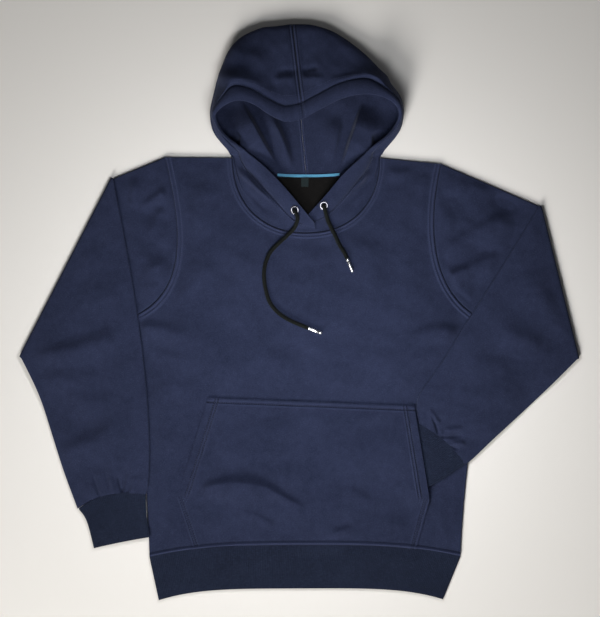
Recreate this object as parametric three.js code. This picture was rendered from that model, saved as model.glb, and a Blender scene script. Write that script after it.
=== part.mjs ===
// A pullover hoodie laid face up on a flat surface, both sleeves folded over at the elbow.
// Millimetres, +Z up from the surface, +Y towards the hood. "Right" and "left" are the wearer's,
// so the right sleeve is on the -X side.
import * as THREE from "three";

const { lerp, smoothstep, clamp, degToRad } = THREE.MathUtils;

// Cloth walls, and the small spaces that keep the pieces apart
const fleece = 1.8;
const ribKnit = 2.0;
const seamGap = 0.3;
const foldGap = 0.4;
const pressedFleece = 2 * fleece + seamGap;
const pressedRib = 2 * ribKnit + seamGap;
const foldCentre = pressedFleece + foldGap / 2;

const colours = { fleece: 0x20264a, rib: 0x171d3c, black: 0x0b0b0c, metal: 0xd9dadd, blue: 0x4aa8dc };

// Neckline, a rounded U that the front and back panels and the hood share
const neck = { x: 10, y: 231, halfWidth: 110, frontDepth: 112, backDepth: 27, roundness: 2.2 };

// Seam between the body and the hem band, and the band's free edge, each arched upwards
const hemSeam = { left: [-225, -368], right: [241, -367], arch: 18, flatness: 3 };
const hemEdge = { left: [-211, -432], right: [215, -430.5], arch: 17, flatness: 4 };

// Each side of the body as control points of its curves: hem to underarm, then round the armhole
const bodySides = {
  right: {
    side: [[-225, -368], [-231, -170], [-257, -9]],
    armhole: [[-257, -9], [-152, 28], [-186, 160], [-202, 232]],
  },
  left: {
    side: [[241, -367], [246, -230], [283, -15]],
    armhole: [[283, -15], [186, 25], [196, 150], [213, 222]],
  },
};

// Soft folds of the front, each a ridge from one point to another
const frontFolds = [
  { fromX: -235, fromY: -25, toX: -120, toY: -70, rise: 1.3, reach: 20 },
  { fromX: 250, fromY: -25, toX: 140, toY: -70, rise: 1, reach: 20 },
  { fromX: -150, fromY: 40, toX: -120, toY: -110, rise: 0.9, reach: 26 },
  { fromX: 110, fromY: 90, toX: 90, toY: -90, rise: 0.9, reach: 26 },
];
const frontSwell = { calm: 1.2, most: 3.3, edgeFrom: 6, edgeTo: 42 };

// Soft folds of the pocket, which holds the front beneath it flat
const pocketFolds = [
  { fromX: -150, fromY: -275, toX: -120, toY: -250, rise: 1.4, reach: 22 },
  { fromX: -120, fromY: -245, toX: -60, toY: -250, rise: 2.0, reach: 22 },
  { fromX: -60, fromY: -255, toX: 0, toY: -300, rise: 1.4, reach: 22 },
  { fromX: 30, fromY: -325, toX: 80, toY: -300, rise: 1.6, reach: 18 },
  { fromX: 40, fromY: -190, toX: 110, toY: -215, rise: 1.0, reach: 26 },
];
const pocketSwell = { calm: 0.9, most: 3.2, edgeFrom: 4, edgeTo: 45 };

// The sleeves. The upper part runs from the armhole to the fold line, and the lower part lies back
// over it. Rows run from the fold line to the cuff seam: "in" is the edge near the body.
const sleeves = {
  right: {
    outward: -1,
    rows: [
      { inX: -279, inY: 200, outX: -417, outY: -69, bow: 0 },
      { inX: -257, inY: 83, outX: -391, outY: -123, bow: 0 },
      { inX: -238, inY: -36, outX: -372, outY: -181, bow: 2 },
      { inX: -226, inY: -156, outX: -354, outY: -238, bow: 5 },
      { inX: -225, inY: -245, outX: -337, outY: -284, bow: 10 },
      { inX: -230, inY: -275, outX: -333, outY: -295, bow: 12 },
    ],
    cuff: [
      { inX: -230, inY: -275, outX: -331, outY: -296, bow: 12 },
      { inX: -229, inY: -303, outX: -319, outY: -313, bow: 6 },
      { inX: -224, inY: -337, outX: -308, outY: -354, bow: 1 },
    ],
    pleats: [{ at: 0.3, depth: 1 }, { at: 0.37, depth: 0.8 }, { at: 0.68, depth: 1 }],
  },
  left: {
    outward: 1,
    rows: [
      { inX: 359, inY: 159, outX: 416, outY: -71, bow: 0 },
      { inX: 313, inY: 84, outX: 377, outY: -110, bow: 1 },
      { inX: 261, inY: 2, outX: 335, outY: -150, bow: 3 },
      { inX: 212, inY: -76, outX: 291, outY: -190, bow: 5 },
      { inX: 177, inY: -128, outX: 262, outY: -218, bow: 6 },
      { inX: 179, inY: -168, outX: 248, outY: -229, bow: 7 },
    ],
    cuff: [
      { inX: 179, inY: -168, outX: 246, outY: -229, bow: 7 },
      { inX: 151, inY: -190, outX: 215, outY: -249, bow: 4 },
      { inX: 123, inY: -213, outX: 184, outY: -269, bow: 1 },
    ],
    pleats: [{ at: 0.36, depth: 1 }, { at: 0.46, depth: 1 }, { at: 0.68, depth: 0.9 }],
  },
};
const sleeveSwell = { upper: 2.2, lower: 2.4, pleatWidth: 0.035, pleatReach: 0.3 };
const bandSwell = { hem: 0.9, cuff: 0.6 }; // how far each ribbed band swells at its middle
const rampFrom = 38; // how far outside a lower layer's edge the cloth above starts to drop
const rampTo = 85; // and how far out it lies on the surface

// Kangaroo pocket, by its six corners, with the turned bands along its two openings
const pocket = {
  right: [[-160, -352], [-184, -279], [-137, -129]],
  left: [[175, -356], [195, -282], [172, -141]],
  lowerShare: 0.34, // of its height below the openings
  band: 13,
  bandRise: 0.8,
};

// The hood, half by half. A row is one line of the cloth from the rim of the face opening to the seam.
// The front rows end on the front neckline, "end" of the way from the shoulder round to the far one.
const hoodFront = {
  right: [
    { rim: [22, 134, 12], end: 0.535 },
    { rim: [5, 154, 14], end: 0.43 },
    { rim: [-20, 184, 17], end: 0.28 },
    { rim: [-46, 211, 20], end: 0.13 },
    { rim: [-66, 228, 22], end: 0.045 },
    { rim: [-80, 239, 23], end: 0 },
  ],
  left: [
    { rim: [14, 147, 7.5], end: 0.537 },
    { rim: [26, 160, 11], end: 0.43 },
    { rim: [43, 179, 15], end: 0.3 },
    { rim: [63, 203, 20], end: 0.16 },
    { rim: [82, 221, 23], end: 0.06 },
    { rim: [98, 235, 24], end: 0 },
  ],
};

// The other rows go over the side fold to a foot on the surface. The first two turn round the end of
// the shoulder seam, the rest end on the back neckline, and the last is the centre seam over the crown.
const hoodSides = {
  right: [
    { rim: [-82, 241, 24], mid: [-95, 239, 13], fold: [-102.5, 237, 6], foot: [-102, 234, 2.8], end: 0 },
    { rim: [-85, 243, 25], mid: [-98, 243, 16], fold: [-106, 243, 8], foot: [-101, 237, 0.3], end: 0 },
    { rim: [-97, 252, 27], mid: [-107, 253, 22], fold: [-115, 253, 12], foot: [-95, 244, 0], end: 0.05 },
    { rim: [-111, 264, 28], mid: [-119, 266, 25], fold: [-126, 266, 14], foot: [-90, 258, 0], end: 0.12 },
    { rim: [-121, 278, 29], mid: [-127, 280, 26], fold: [-132, 280, 15], foot: [-84, 277, 0], end: 0.19 },
    { rim: [-126, 294, 32], mid: [-131, 299, 27], fold: [-134, 301, 15], foot: [-78, 298, 0], end: 0.25 },
    { rim: [-109, 309, 34], mid: [-120, 322, 28], fold: [-128, 328, 14], foot: [-74, 322, 0], end: 0.31 },
    { rim: [-88, 315, 34], mid: [-103, 348, 27], fold: [-119, 360, 13], foot: [-69, 350, 0], end: 0.36 },
    { rim: [-65, 308, 29], mid: [-79, 364, 23], fold: [-98, 403, 12], foot: [-56, 378, 0], end: 0.41 },
    { rim: [-46, 295, 22], mid: [-52, 367, 19], fold: [-62, 424, 11], foot: [-41, 400, 0], end: 0.45 },
    { rim: [-20, 284, 16], mid: [-27, 366, 17], fold: [-35, 428, 10.5], foot: [-26, 412, 0], end: 0.48 },
    { rim: [6, 289, 16], mid: [-3, 363, 16], fold: [-11, 431, 10], foot: [-10, 419, 0], end: 0.5 },
  ],
  left: [
    { rim: [101, 238, 24], mid: [114, 239, 14], fold: [122.5, 237, 6], foot: [122, 234, 2.8], end: 0 },
    { rim: [104, 241, 25], mid: [117, 243, 16], fold: [126, 243, 8], foot: [121, 237, 0.3], end: 0 },
    { rim: [113, 249, 27], mid: [126, 252, 22], fold: [135, 253, 12], foot: [115, 244, 0], end: 0.05 },
    { rim: [127, 260, 28], mid: [137, 263, 25], fold: [145, 264, 14], foot: [110, 258, 0], end: 0.12 },
    { rim: [141, 275, 29], mid: [148, 277, 26], fold: [153, 278, 15], foot: [104, 277, 0], end: 0.19 },
    { rim: [149, 292, 32], mid: [154, 298, 28], fold: [156, 300, 15], foot: [98, 298, 0], end: 0.25 },
    { rim: [143, 309, 35], mid: [148, 320, 28], fold: [150, 324, 14], foot: [93, 322, 0], end: 0.31 },
    { rim: [121, 321, 36], mid: [126, 341, 28], fold: [131, 348, 13], foot: [85, 344, 0], end: 0.36 },
    { rim: [92, 324, 32], mid: [96, 363, 23], fold: [103, 381, 12], foot: [66, 366, 0], end: 0.41 },
    { rim: [61, 317, 26], mid: [58, 373, 19], fold: [61, 414, 11], foot: [42, 392, 0], end: 0.45 },
    { rim: [30, 302, 20], mid: [25, 371, 17], fold: [23, 429, 10.5], foot: [17, 410, 0], end: 0.48 },
    { rim: [6, 289, 16], mid: [-3, 363, 16], fold: [-11, 431, 10], foot: [-10, 419, 0], end: 0.5 },
  ],
};
const hoodFoldRadius = 4.5; // of the cloth's bend at the side fold
const hoodSlump = { front: 1.25, side: 1.7 }; // how soon it sinks from the rim, and to the side fold
const hoodRim = { channelWidth: 24, channelRise: 1.2, channelColumn: 0.5, overlap: 2.3 };
const hoodGathers = { fromRow: 15.4, rise: 1.2, perRow: 2 };
const innerFolds = [
  { fromX: -48, fromY: 296, toX: -20, toY: 226, rise: 8, reach: 9 },
  { fromX: 78, fromY: 300, toX: 56, toY: 236, rise: 3, reach: 12 },
];

// Places shared by the pieces that meet at a seam, so that their edges follow one line
const neckKnots = [0, 0.06, 0.14, 0.23, 0.32, 0.41, 0.5, 0.59, 0.68, 0.77, 0.86, 0.94, 1];
const armholeKnots = [0, 0.07, 0.2, 0.34, 0.48, 0.62, 0.76, 0.9, 1];

const neckTape = { from: -33, to: 60, width: 4, thickness: 1 };
const neckPatch = { halfWidth: 56, depth: 56, thickness: 1 };
const sizeLabel = { x: 8, width: 11, length: 14, thickness: 0.7 };

// Drawcord: two free ends, each out of an eyelet near the rim and lying on the front
const cordRadius = 3;
const cordSides = 8;
const tip = { length: 22, radius: 2.5, sides: 12, gap: 0.6 };
const eyelet = { outer: 6.6, hole: 3.6, rise: 1.4, segments: 24 };
const eyeletPlaces = { right: { row: 1.25, column: 0.22 }, left: { row: 1.4, column: 0.18 } };
const eyeletGap = 0.5;
const cordRoutes = {
  right: [
    { x: -3, y: 141 }, { x: -7, y: 127 }, { x: -18, y: 115 }, { x: -31, y: 103 }, { x: -44, y: 89 },
    { x: -51, y: 72 }, { x: -53, y: 55 }, { x: -51, y: 36 }, { x: -45, y: 16 }, { x: -34, y: 1 },
    { x: -19, y: -10 }, { x: -2, y: -18 }, { x: 13, y: -24 },
  ],
  left: [
    { x: 42, y: 138 }, { x: 47, y: 127 }, { x: 53, y: 115 }, { x: 60, y: 100 }, { x: 67, y: 89 },
    { x: 71, y: 80 },
  ],
};

const v2 = (point) => new THREE.Vector2(...point);
const sideCurves = Object.fromEntries(
  Object.entries(bodySides).map(([name, { side, armhole }]) => [
    name,
    {
      side: new THREE.QuadraticBezierCurve(...side.map(v2)),
      armhole: new THREE.CubicBezierCurve(...armhole.map(v2)),
    },
  ]),
);

// A table's row at a fractional row number, eased through its neighbours
function between(rows, at) {
  const last = rows.length - 1;
  const k = clamp(Math.floor(at), 0, last - 1);
  const f = at - k;
  const [a, b, c, d] = [k - 1, k, k + 1, k + 2].map((i) => rows[clamp(i, 0, last)]);
  const ease = (p, q, r, s) =>
    q + 0.5 * f * (r - p + f * (2 * p - 5 * q + 4 * r - s + f * (3 * q - p - 3 * r + s)));
  const easeKey = (key) =>
    Array.isArray(b[key])
      ? b[key].map((_, i) => ease(a[key][i], b[key][i], c[key][i], d[key][i]))
      : ease(a[key], b[key], c[key], d[key]);
  return Object.fromEntries(Object.keys(b).map((key) => [key, easeKey(key)]));
}

// A point on the line through a curve's knots
function alongKnots(knots, curvePoint, share) {
  const next = clamp(knots.findIndex((knot) => knot >= share), 1, knots.length - 1);
  const [a, b] = [knots[next - 1], knots[next]];
  return curvePoint(a).lerp(curvePoint(b), clamp((share - a) / (b - a), 0, 1));
}

// A point of the neckline: turn 0 at the wearer's right shoulder, 0.5 at the centre, 1 at the left
function neckPoint(turn, depth) {
  const power = 2 / neck.roundness;
  const rounded = (value) => Math.sign(value) * Math.abs(value) ** power;
  const curvePoint = (knot) => {
    const angle = Math.PI * knot;
    const [aside, down] = [rounded(Math.cos(angle)), rounded(Math.sin(angle))];
    return new THREE.Vector2(neck.x - neck.halfWidth * aside, neck.y - depth * down);
  };
  return alongKnots(neckKnots, curvePoint, turn);
}

// A point of an armhole, from the underarm to the shoulder
function armholePoint(name, share) {
  return alongKnots(armholeKnots, (knot) => sideCurves[name].armhole.getPointAt(knot), share);
}

// A point of an arched edge, from its right end to its left end
function archPoint({ left, right, arch, flatness }, share) {
  const rise = arch * (1 - Math.abs(2 * share - 1) ** flatness);
  return new THREE.Vector2(lerp(left[0], right[0], share), lerp(left[1], right[1], share) + rise);
}

// The body's edges: up each side, and along the shoulders and neckline
const sideShare = 0.575; // of each side's length below the underarm
function bodyEdge(name, share) {
  return share < sideShare
    ? sideCurves[name].side.getPointAt(share / sideShare)
    : armholePoint(name, (share - sideShare) / (1 - sideShare));
}

const shoulderShare = { right: 0.187, left: 0.172 };
function bodyTop(share, depth) {
  const neckFrom = shoulderShare.right;
  const neckTo = 1 - shoulderShare.left;
  if (share < neckFrom) {
    return v2(bodySides.right.armhole[3]).lerp(neckPoint(0, depth), share / neckFrom);
  }
  if (share > neckTo) {
    return neckPoint(1, depth).lerp(v2(bodySides.left.armhole[3]), (share - neckTo) / (1 - neckTo));
  }
  return neckPoint((share - neckFrom) / (neckTo - neckFrom), depth);
}

// A point inside four edges, u across and v up. A side's curve is felt only near that side.
const sideReach = 0.27;
function patchPoint({ bottom, top, right, left }, u, v) {
  const point = bottom(u).lerp(top(u), v);
  const bulge = (side, end) => side(v).sub(bottom(end).lerp(top(end), v));
  point.addScaledVector(bulge(right, 0), Math.max(0, 1 - u / sideReach));
  return point.addScaledVector(bulge(left, 1), Math.max(0, 1 - (1 - u) / sideReach));
}

const bodyPatch = (depth) => ({
  bottom: (u) => archPoint(hemSeam, u),
  top: (u) => bodyTop(u, depth),
  right: (v) => bodyEdge("right", v),
  left: (v) => bodyEdge("left", v),
});
const steps = (count) => Array.from({ length: count + 1 }, (_, i) => i / count);

function outlineOf(patch, count = 40) {
  const shares = steps(count);
  return [
    ...shares.map((u) => patch.bottom(u)),
    ...shares.map((v) => patch.left(v)),
    ...[...shares].reverse().map((u) => patch.top(u)),
    ...[...shares].reverse().map((v) => patch.right(v)),
  ];
}

// Distance from a point to an outline, positive inside and negative outside
function depthInside(outline, x, y) {
  let nearest = Infinity;
  let inside = false;
  outline.forEach((a, i) => {
    const b = outline[(i + 1) % outline.length];
    const [dx, dy] = [b.x - a.x, b.y - a.y];
    const along = clamp(((x - a.x) * dx + (y - a.y) * dy) / (dx * dx + dy * dy || 1), 0, 1);
    nearest = Math.min(nearest, Math.hypot(a.x + along * dx - x, a.y + along * dy - y));
    if (a.y > y !== b.y > y && x < a.x + ((y - a.y) / dy) * dx) inside = !inside;
  });
  return inside ? nearest : -nearest;
}

// The pocket's edges, each side from the hem over the foot of the opening to the top
const pocketPatch = {
  bottom: (u) => {
    const share = (x) => (x - hemSeam.left[0]) / (hemSeam.right[0] - hemSeam.left[0]);
    return archPoint(hemSeam, lerp(share(pocket.right[0][0]), share(pocket.left[0][0]), u));
  },
  top: (u) => v2(pocket.right[2]).lerp(v2(pocket.left[2]), u),
  right: (v) => alongKnots([0, pocket.lowerShare, 1], (knot) => pocketCorner("right", knot), v),
  left: (v) => alongKnots([0, pocket.lowerShare, 1], (knot) => pocketCorner("left", knot), v),
};
const pocketCorner = (side, knot) => v2(pocket[side][[0, pocket.lowerShare, 1].indexOf(knot)]);
const pocketOutline = outlineOf(pocketPatch);

const frontOutline = outlineOf(bodyPatch(neck.frontDepth));
const bodyOutline = outlineOf(bodyPatch(neck.backDepth));

const spread = 18; // how widely a fold below is felt by the layer above

// How high a ridge stands at a point, fading at its ends
function foldRise({ fromX, fromY, toX, toY, rise, reach }, x, y) {
  const [dx, dy] = [toX - fromX, toY - fromY];
  const length = Math.hypot(dx, dy);
  const along = ((x - fromX) * dx + (y - fromY) * dy) / length;
  const aside = ((x - fromX) * dy - (y - fromY) * dx) / length;
  const past = Math.max(0, -along, along - length);
  return rise * Math.exp(-((aside / reach) ** 2) - (past / reach) ** 2);
}

// Rise of a panel with folds over what lies below it, none along its edges
function swellRise({ calm, most, edgeFrom, edgeTo }, folds, outline, x, y) {
  const rise = folds.reduce((sum, fold) => sum + foldRise(fold, x, y), calm);
  return clamp(rise, 0, most) * smoothstep(depthInside(outline, x, y), edgeFrom, edgeTo);
}
function frontRise(x, y) {
  const besidePocket = smoothstep(-depthInside(pocketOutline, x, y), 20, 50);
  return swellRise(frontSwell, frontFolds, frontOutline, x, y) * besidePocket;
}
const frontTop = (x, y) => pressedFleece + frontRise(x, y);

// Two matching grids of points, the outer face and the inner face, closed into one wall.
// A ring's rows close on themselves, and its second half is cut into triangles as its first is, mirrored.
function wallBetween(outer, inner, ring = false) {
  const [rows, columns] = [outer.length, outer[0].length];
  const positions = [...outer, ...inner].flat().flatMap((p) => [p.x, p.y, p.z]);
  const index = [];
  const at = (face, i, j) => face * rows * columns + i * columns + (j % columns);
  const quad = (a, b, c, d) => index.push(a, b, c, a, c, d);
  const lastColumn = ring ? columns : columns - 1;
  for (let i = 0; i < rows - 1; i += 1) {
    for (let j = 0; j < lastColumn; j += 1) {
      const outerQuad = [at(0, i, j), at(0, i, j + 1), at(0, i + 1, j + 1), at(0, i + 1, j)];
      const innerQuad = [at(1, i, j), at(1, i + 1, j), at(1, i + 1, j + 1), at(1, i, j + 1)];
      const mirrored = ring && j >= columns / 2;
      quad(...(mirrored ? [...outerQuad.slice(1), outerQuad[0]] : outerQuad));
      quad(...(mirrored ? [...innerQuad.slice(1), innerQuad[0]] : innerQuad));
    }
  }
  for (let j = 0; j < lastColumn; j += 1) {
    quad(at(0, 0, j), at(1, 0, j), at(1, 0, j + 1), at(0, 0, j + 1));
    quad(at(0, rows - 1, j), at(0, rows - 1, j + 1), at(1, rows - 1, j + 1), at(1, rows - 1, j));
  }
  for (let i = 0; i < rows - 1 && !ring; i += 1) {
    quad(at(0, i, 0), at(0, i + 1, 0), at(1, i + 1, 0), at(1, i, 0));
    quad(at(0, i, columns - 1), at(1, i, columns - 1), at(1, i + 1, columns - 1), at(0, i + 1, columns - 1));
  }
  const geometry = new THREE.BufferGeometry();
  geometry.setAttribute("position", new THREE.Float32BufferAttribute(positions, 3));
  geometry.setIndex(signedVolume(positions, index) < 0 ? index.reverse() : index);
  return geometry;
}

function signedVolume(positions, index) {
  const corner = (i) => new THREE.Vector3().fromArray(positions, 3 * index[i]);
  let volume = 0;
  for (let i = 0; i < index.length; i += 3) {
    volume += corner(i).dot(corner(i + 1).cross(corner(i + 2))) / 6;
  }
  return volume;
}

// A flat-lying panel from its grid of plan points and the heights of its two faces
function panelWall(grid, upper, lower) {
  const raise = (height) => grid.map((row) => row.map((p) => new THREE.Vector3(p.x, p.y, height(p.x, p.y))));
  return wallBetween(raise(upper), raise(lower));
}

function insetPoint(point, centre, inset) {
  const towards = centre.clone().sub(point).normalize();
  return point.clone().addScaledVector(towards, inset);
}

function bodyGrid(depth, columns, rows) {
  const patch = bodyPatch(depth);
  const centre = new THREE.Vector2(0, -120);
  const onEdge = (share) => share === 0 || share === 1;
  return rows.map((v) =>
    columns.map((u) => {
      const point = patchPoint(patch, u, v);
      return onEdge(u) || onEdge(v) ? insetPoint(point, centre, seamGap) : point;
    }),
  );
}

const neckColumns = neckKnots.map((knot) => lerp(shoulderShare.right, 1 - shoulderShare.left, knot));
const armholeRows = armholeKnots.map((knot) => lerp(sideShare, 1, knot));

function frontPanel() {
  const columns = [0, 0.02, 0.06, 0.12, ...neckColumns, 0.89, 0.94, 0.98, 1];
  const rows = [0, 0.02, 0.06, 0.13, 0.2, 0.27, 0.34, 0.41, 0.48, 0.53, ...armholeRows];
  const grid = bodyGrid(neck.frontDepth, columns, rows);
  return panelWall(grid, frontTop, (x, y) => frontTop(x, y) - fleece);
}

function backPanel() {
  const columns = [0, 0.09, ...neckColumns, 0.91, 1];
  const rows = [0, 0.2, 0.4, ...armholeRows];
  return panelWall(bodyGrid(neck.backDepth, columns, rows), () => fleece, () => 0);
}

// Cross-section of a tube pressed flat, as distances from its near edge and heights. The first face is
// at height 0 and the second at the top; the edges between them are round.
const edgeTurns = [45, 90, 135].map(degToRad);
function pressedRing(width, wall, inset, columns) {
  const height = 2 * wall + seamGap;
  const half = height / 2;
  const radius = half - inset;
  const run = (share) => half + share * (width - height);
  return [
    ...columns.map((share) => [run(share), inset]),
    ...edgeTurns.map((turn) => [width - half + radius * Math.sin(turn), half - radius * Math.cos(turn)]),
    ...[...columns].reverse().map((share) => [run(share), height - inset]),
    ...edgeTurns.map((turn) => [half - radius * Math.sin(turn), half + radius * Math.cos(turn)]),
  ];
}

// A tube from its rows: each gives its width and places a share across and a height above its first face
function pressedTube(rows, wall, columns) {
  const face = (inset) =>
    rows.map(({ width, place }) =>
      pressedRing(width, wall, inset, columns).map(([distance, height]) => place(distance / width, height)),
    );
  return wallBetween(face(0), face(wall), true);
}

// A row from its table: a bowed line from the edge near the body to the outer edge
function rowPoint({ inX, inY, outX, outY, bow }, share, outward) {
  const [dx, dy] = [outX - inX, outY - inY];
  const width = Math.hypot(dx, dy);
  const side = (outward * bow * 4 * share * (1 - share)) / width;
  return new THREE.Vector2(inX + share * dx + dy * side * -1, inY + share * dy + dx * side);
}
const rowWidth = ({ inX, inY, outX, outY }) => Math.hypot(outX - inX, outY - inY);

// Plan outline of a sleeve's upper part, and how high the layers under its lower part lift it
function upperOutline(name) {
  const { rows } = sleeves[name];
  const round = steps(12).map((share) => armholePoint(name, 1 - share));
  const { inX, inY, outX, outY } = rows[0];
  return [...round, new THREE.Vector2(outX, outY), new THREE.Vector2(inX, inY)];
}

const upperOutlines = { right: upperOutline("right"), left: upperOutline("left") };
function layersBelow(name, x, y) {
  const body = depthInside(bodyOutline, x, y);
  const outside = -Math.max(body, depthInside(upperOutlines[name], x, y));
  const lift = (pressedFleece + foldGap) * (1 - smoothstep(outside, rampFrom, rampTo));
  const spots = [[0, 0], [1, 0], [0, 1], [-1, 0], [0, -1]];
  return lift + Math.max(...spots.map(([dx, dy]) => frontRise(x + dx * spread, y + dy * spread)));
}

const acrossSwell = (share) => Math.sin(Math.PI * clamp(share, 0, 1)) ** 0.7;

// Rise of a sleeve's visible face above its hidden one, with the gathers at the cuff
function lowerRise(name, share, along) {
  const { pleats } = sleeves[name];
  const { lower, pleatWidth, pleatReach } = sleeveSwell;
  const nearCuff = smoothstep(along, 1 - pleatReach, 0.97);
  const furrows = pleats.map(({ at, depth }) => depth * Math.exp(-(((share - at) / pleatWidth) ** 2)));
  const furrow = Math.max(...furrows);
  const calm = smoothstep(along, 0, 0.12) * lerp(1, 0.75, smoothstep(along, 0.9, 1));
  return lower * acrossSwell(share) * calm * (1 - furrow * nearCuff);
}

function sleeveRows(name) {
  const { rows, outward } = sleeves[name];
  const fold = rows[0];
  const foldLine = (share) => rowPoint(fold, share, outward);
  const foldWidth = rowWidth(fold);
  const away = new THREE.Vector2(fold.inY - fold.outY, fold.outX - fold.inX).setLength(outward);
  const armholeLength = sideCurves[name].armhole.getLength();
  const upper = [0, 0.06, 0.3, 0.65, 1].map((along) => ({
    width: lerp(armholeLength, foldWidth, along),
    place: (share, height) => {
      const start = armholePoint(name, 1 - share);
      start.addScaledVector(foldLine(share).sub(start).normalize(), 2 * seamGap);
      const plan = start.lerp(foldLine(share), along);
      const covered = smoothstep(depthInside(lowerOutlines[name], plan.x, plan.y), -75, -35);
      const swell = sleeveSwell.upper * acrossSwell(share) * Math.sin(Math.PI * along) * (1 - covered);
      return new THREE.Vector3(plan.x, plan.y, height + (height > pressedFleece / 2 ? swell : 0));
    },
  }));
  const bend = [30, 60, 90, 120, 150].map(degToRad).map((turn) => ({
    width: foldWidth,
    place: (share, height) => {
      const radius = foldCentre - height;
      const plan = foldLine(share).addScaledVector(away, radius * Math.sin(turn));
      return new THREE.Vector3(plan.x, plan.y, foldCentre - radius * Math.cos(turn));
    },
  }));
  const lower = [0, 0.07, 0.14, 0.22, 0.32, 0.44, 0.57, 0.7, 0.8, 0.88, 0.94, 1].map((along) => {
    const row = between(rows, along * (rows.length - 1));
    return {
      width: rowWidth(row),
      place: (share, height) => {
        const plan = rowPoint(row, share, outward);
        const rise = height < pressedFleece / 2 ? lowerRise(name, share, along) : 0;
        const floor = layersBelow(name, plan.x, plan.y);
        return new THREE.Vector3(plan.x, plan.y, floor + pressedFleece - height + rise);
      },
    };
  });
  return [...upper, ...bend, ...lower];
}

// Plan outline of the folded-over part of a sleeve
const lowerOutlines = Object.fromEntries(
  Object.entries(sleeves).map(([name, { rows }]) => [
    name,
    [
      ...rows.map(({ inX, inY }) => new THREE.Vector2(inX, inY)),
      ...[...rows].reverse().map(({ outX, outY }) => new THREE.Vector2(outX, outY)),
    ],
  ]),
);

const sleeveColumns = [0, 0.1, 0.21, 0.3, 0.335, 0.37, 0.415, 0.46, 0.56, 0.63, 0.68, 0.73, 0.86, 1];
const sleeve = (name) => pressedTube(sleeveRows(name), fleece, sleeveColumns);

function cuff(name) {
  const { cuff: rows, outward } = sleeves[name];
  const rowsOf = [0, 0.35, 0.7, 1].map((along) => {
    const row = between(rows, along * (rows.length - 1));
    const slide = along === 0 ? seamGap * 2 : 0;
    const end = rows[rows.length - 1];
    const down = new THREE.Vector2(end.inX - rows[0].inX, end.inY - rows[0].inY).normalize();
    return {
      width: rowWidth(row),
      place: (share, height) => {
        const plan = rowPoint(row, share, outward).addScaledVector(down, slide);
        const swell = bandSwell.cuff * acrossSwell(share) * Math.sin(Math.PI * along);
        const rise = height < pressedRib / 2 ? swell : 0;
        const floor = layersBelow(name, plan.x, plan.y);
        return new THREE.Vector3(plan.x, plan.y, floor + pressedRib - height + rise);
      },
    };
  });
  return pressedTube(rowsOf, ribKnit, [0, 0.15, 0.3, 0.5, 0.7, 0.85, 1]);
}

function hemBand() {
  const rows = [0, 0.33, 0.67, 1].map((along) => {
    const plan = (share) => {
      const point = archPoint(hemSeam, share).lerp(archPoint(hemEdge, share), along);
      return along === 0 ? point.setY(point.y - 2 * seamGap) : point;
    };
    return {
      width: plan(0).distanceTo(plan(1)),
      place: (share, height) => {
        const { x, y } = plan(share);
        const swell = bandSwell.hem * acrossSwell(share) * Math.sin(Math.PI * along);
        const rise = height > pressedRib / 2 ? swell : 0;
        return new THREE.Vector3(x, y, height + rise);
      },
    };
  });
  return pressedTube(rows, ribKnit, [0, 0.05, 0.12, 0.22, 0.34, 0.5, 0.66, 0.78, 0.88, 0.95, 1]);
}

// The pocket lies on the front, and rises over the left cuff that is tucked into it
const leftCuffOutline = [
  ...sleeves.left.cuff.map(({ inX, inY }) => new THREE.Vector2(inX, inY)),
  ...[...sleeves.left.cuff].reverse().map(({ outX, outY }) => new THREE.Vector2(outX, outY)),
];
const tuckedRise = pressedRib + foldGap + 1.2;
function pocketFloor(x, y) {
  const tucked = 1 - smoothstep(-depthInside(leftCuffOutline, x, y), 6, 34);
  const swell = swellRise(pocketSwell, pocketFolds, pocketOutline, x, y) * (1 - tucked);
  return frontTop(x, y) + seamGap + tuckedRise * tucked + swell;
}

function pocketPanel() {
  const bandShare = pocket.band / (pocket.left[2][0] - pocket.right[2][0]);
  const inner = [bandShare * 1.3, 0.18, 0.32, 0.45, 0.58, 0.7, 0.8, 0.88, 1 - bandShare * 1.3];
  const columns = [0, bandShare, ...inner, 1 - bandShare, 1];
  const rows = [0, 0.08, 0.2, pocket.lowerShare, 0.46, 0.58, 0.7, 0.82, 0.93, 1];
  const grid = rows.map((v) => columns.map((u) => patchPoint(pocketPatch, u, v)));
  const rim = (u, v) => (u <= bandShare || u >= 1 - bandShare) && v >= pocket.lowerShare;
  const lower = grid.map((row) => row.map(({ x, y }) => new THREE.Vector3(x, y, pocketFloor(x, y))));
  const upper = lower.map((row, i) =>
    row.map((p, j) => p.clone().setZ(p.z + fleece + (rim(columns[j], rows[i]) ? pocket.bandRise : 0))),
  );
  return wallBetween(upper, lower);
}

function hermite(a, b, fromA, intoB, f) {
  const [f2, f3] = [f * f, f * f * f];
  return new THREE.Vector3()
    .addScaledVector(a, 2 * f3 - 3 * f2 + 1)
    .addScaledVector(fromA, f3 - 2 * f2 + f)
    .addScaledVector(b, -2 * f3 + 3 * f2)
    .addScaledVector(intoB, f3 - f2);
}

// Both tables of a half as one
const hoodRows = Object.fromEntries(
  Object.keys(hoodSides).map((name) => [
    name,
    [...hoodFront[name].map((row) => ({ ...hoodSides[name][0], ...row })), ...hoodSides[name]],
  ]),
);
const lastFrontRow = hoodFront.right.length - 1;
const lastHoodRow = hoodRows.right.length - 1;

// How far round the end of the shoulder seam a row ends, from the front's face to the back's
const turnAt = (row) => Math.PI * clamp((row - lastFrontRow) / 2, 0, 1);

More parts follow.
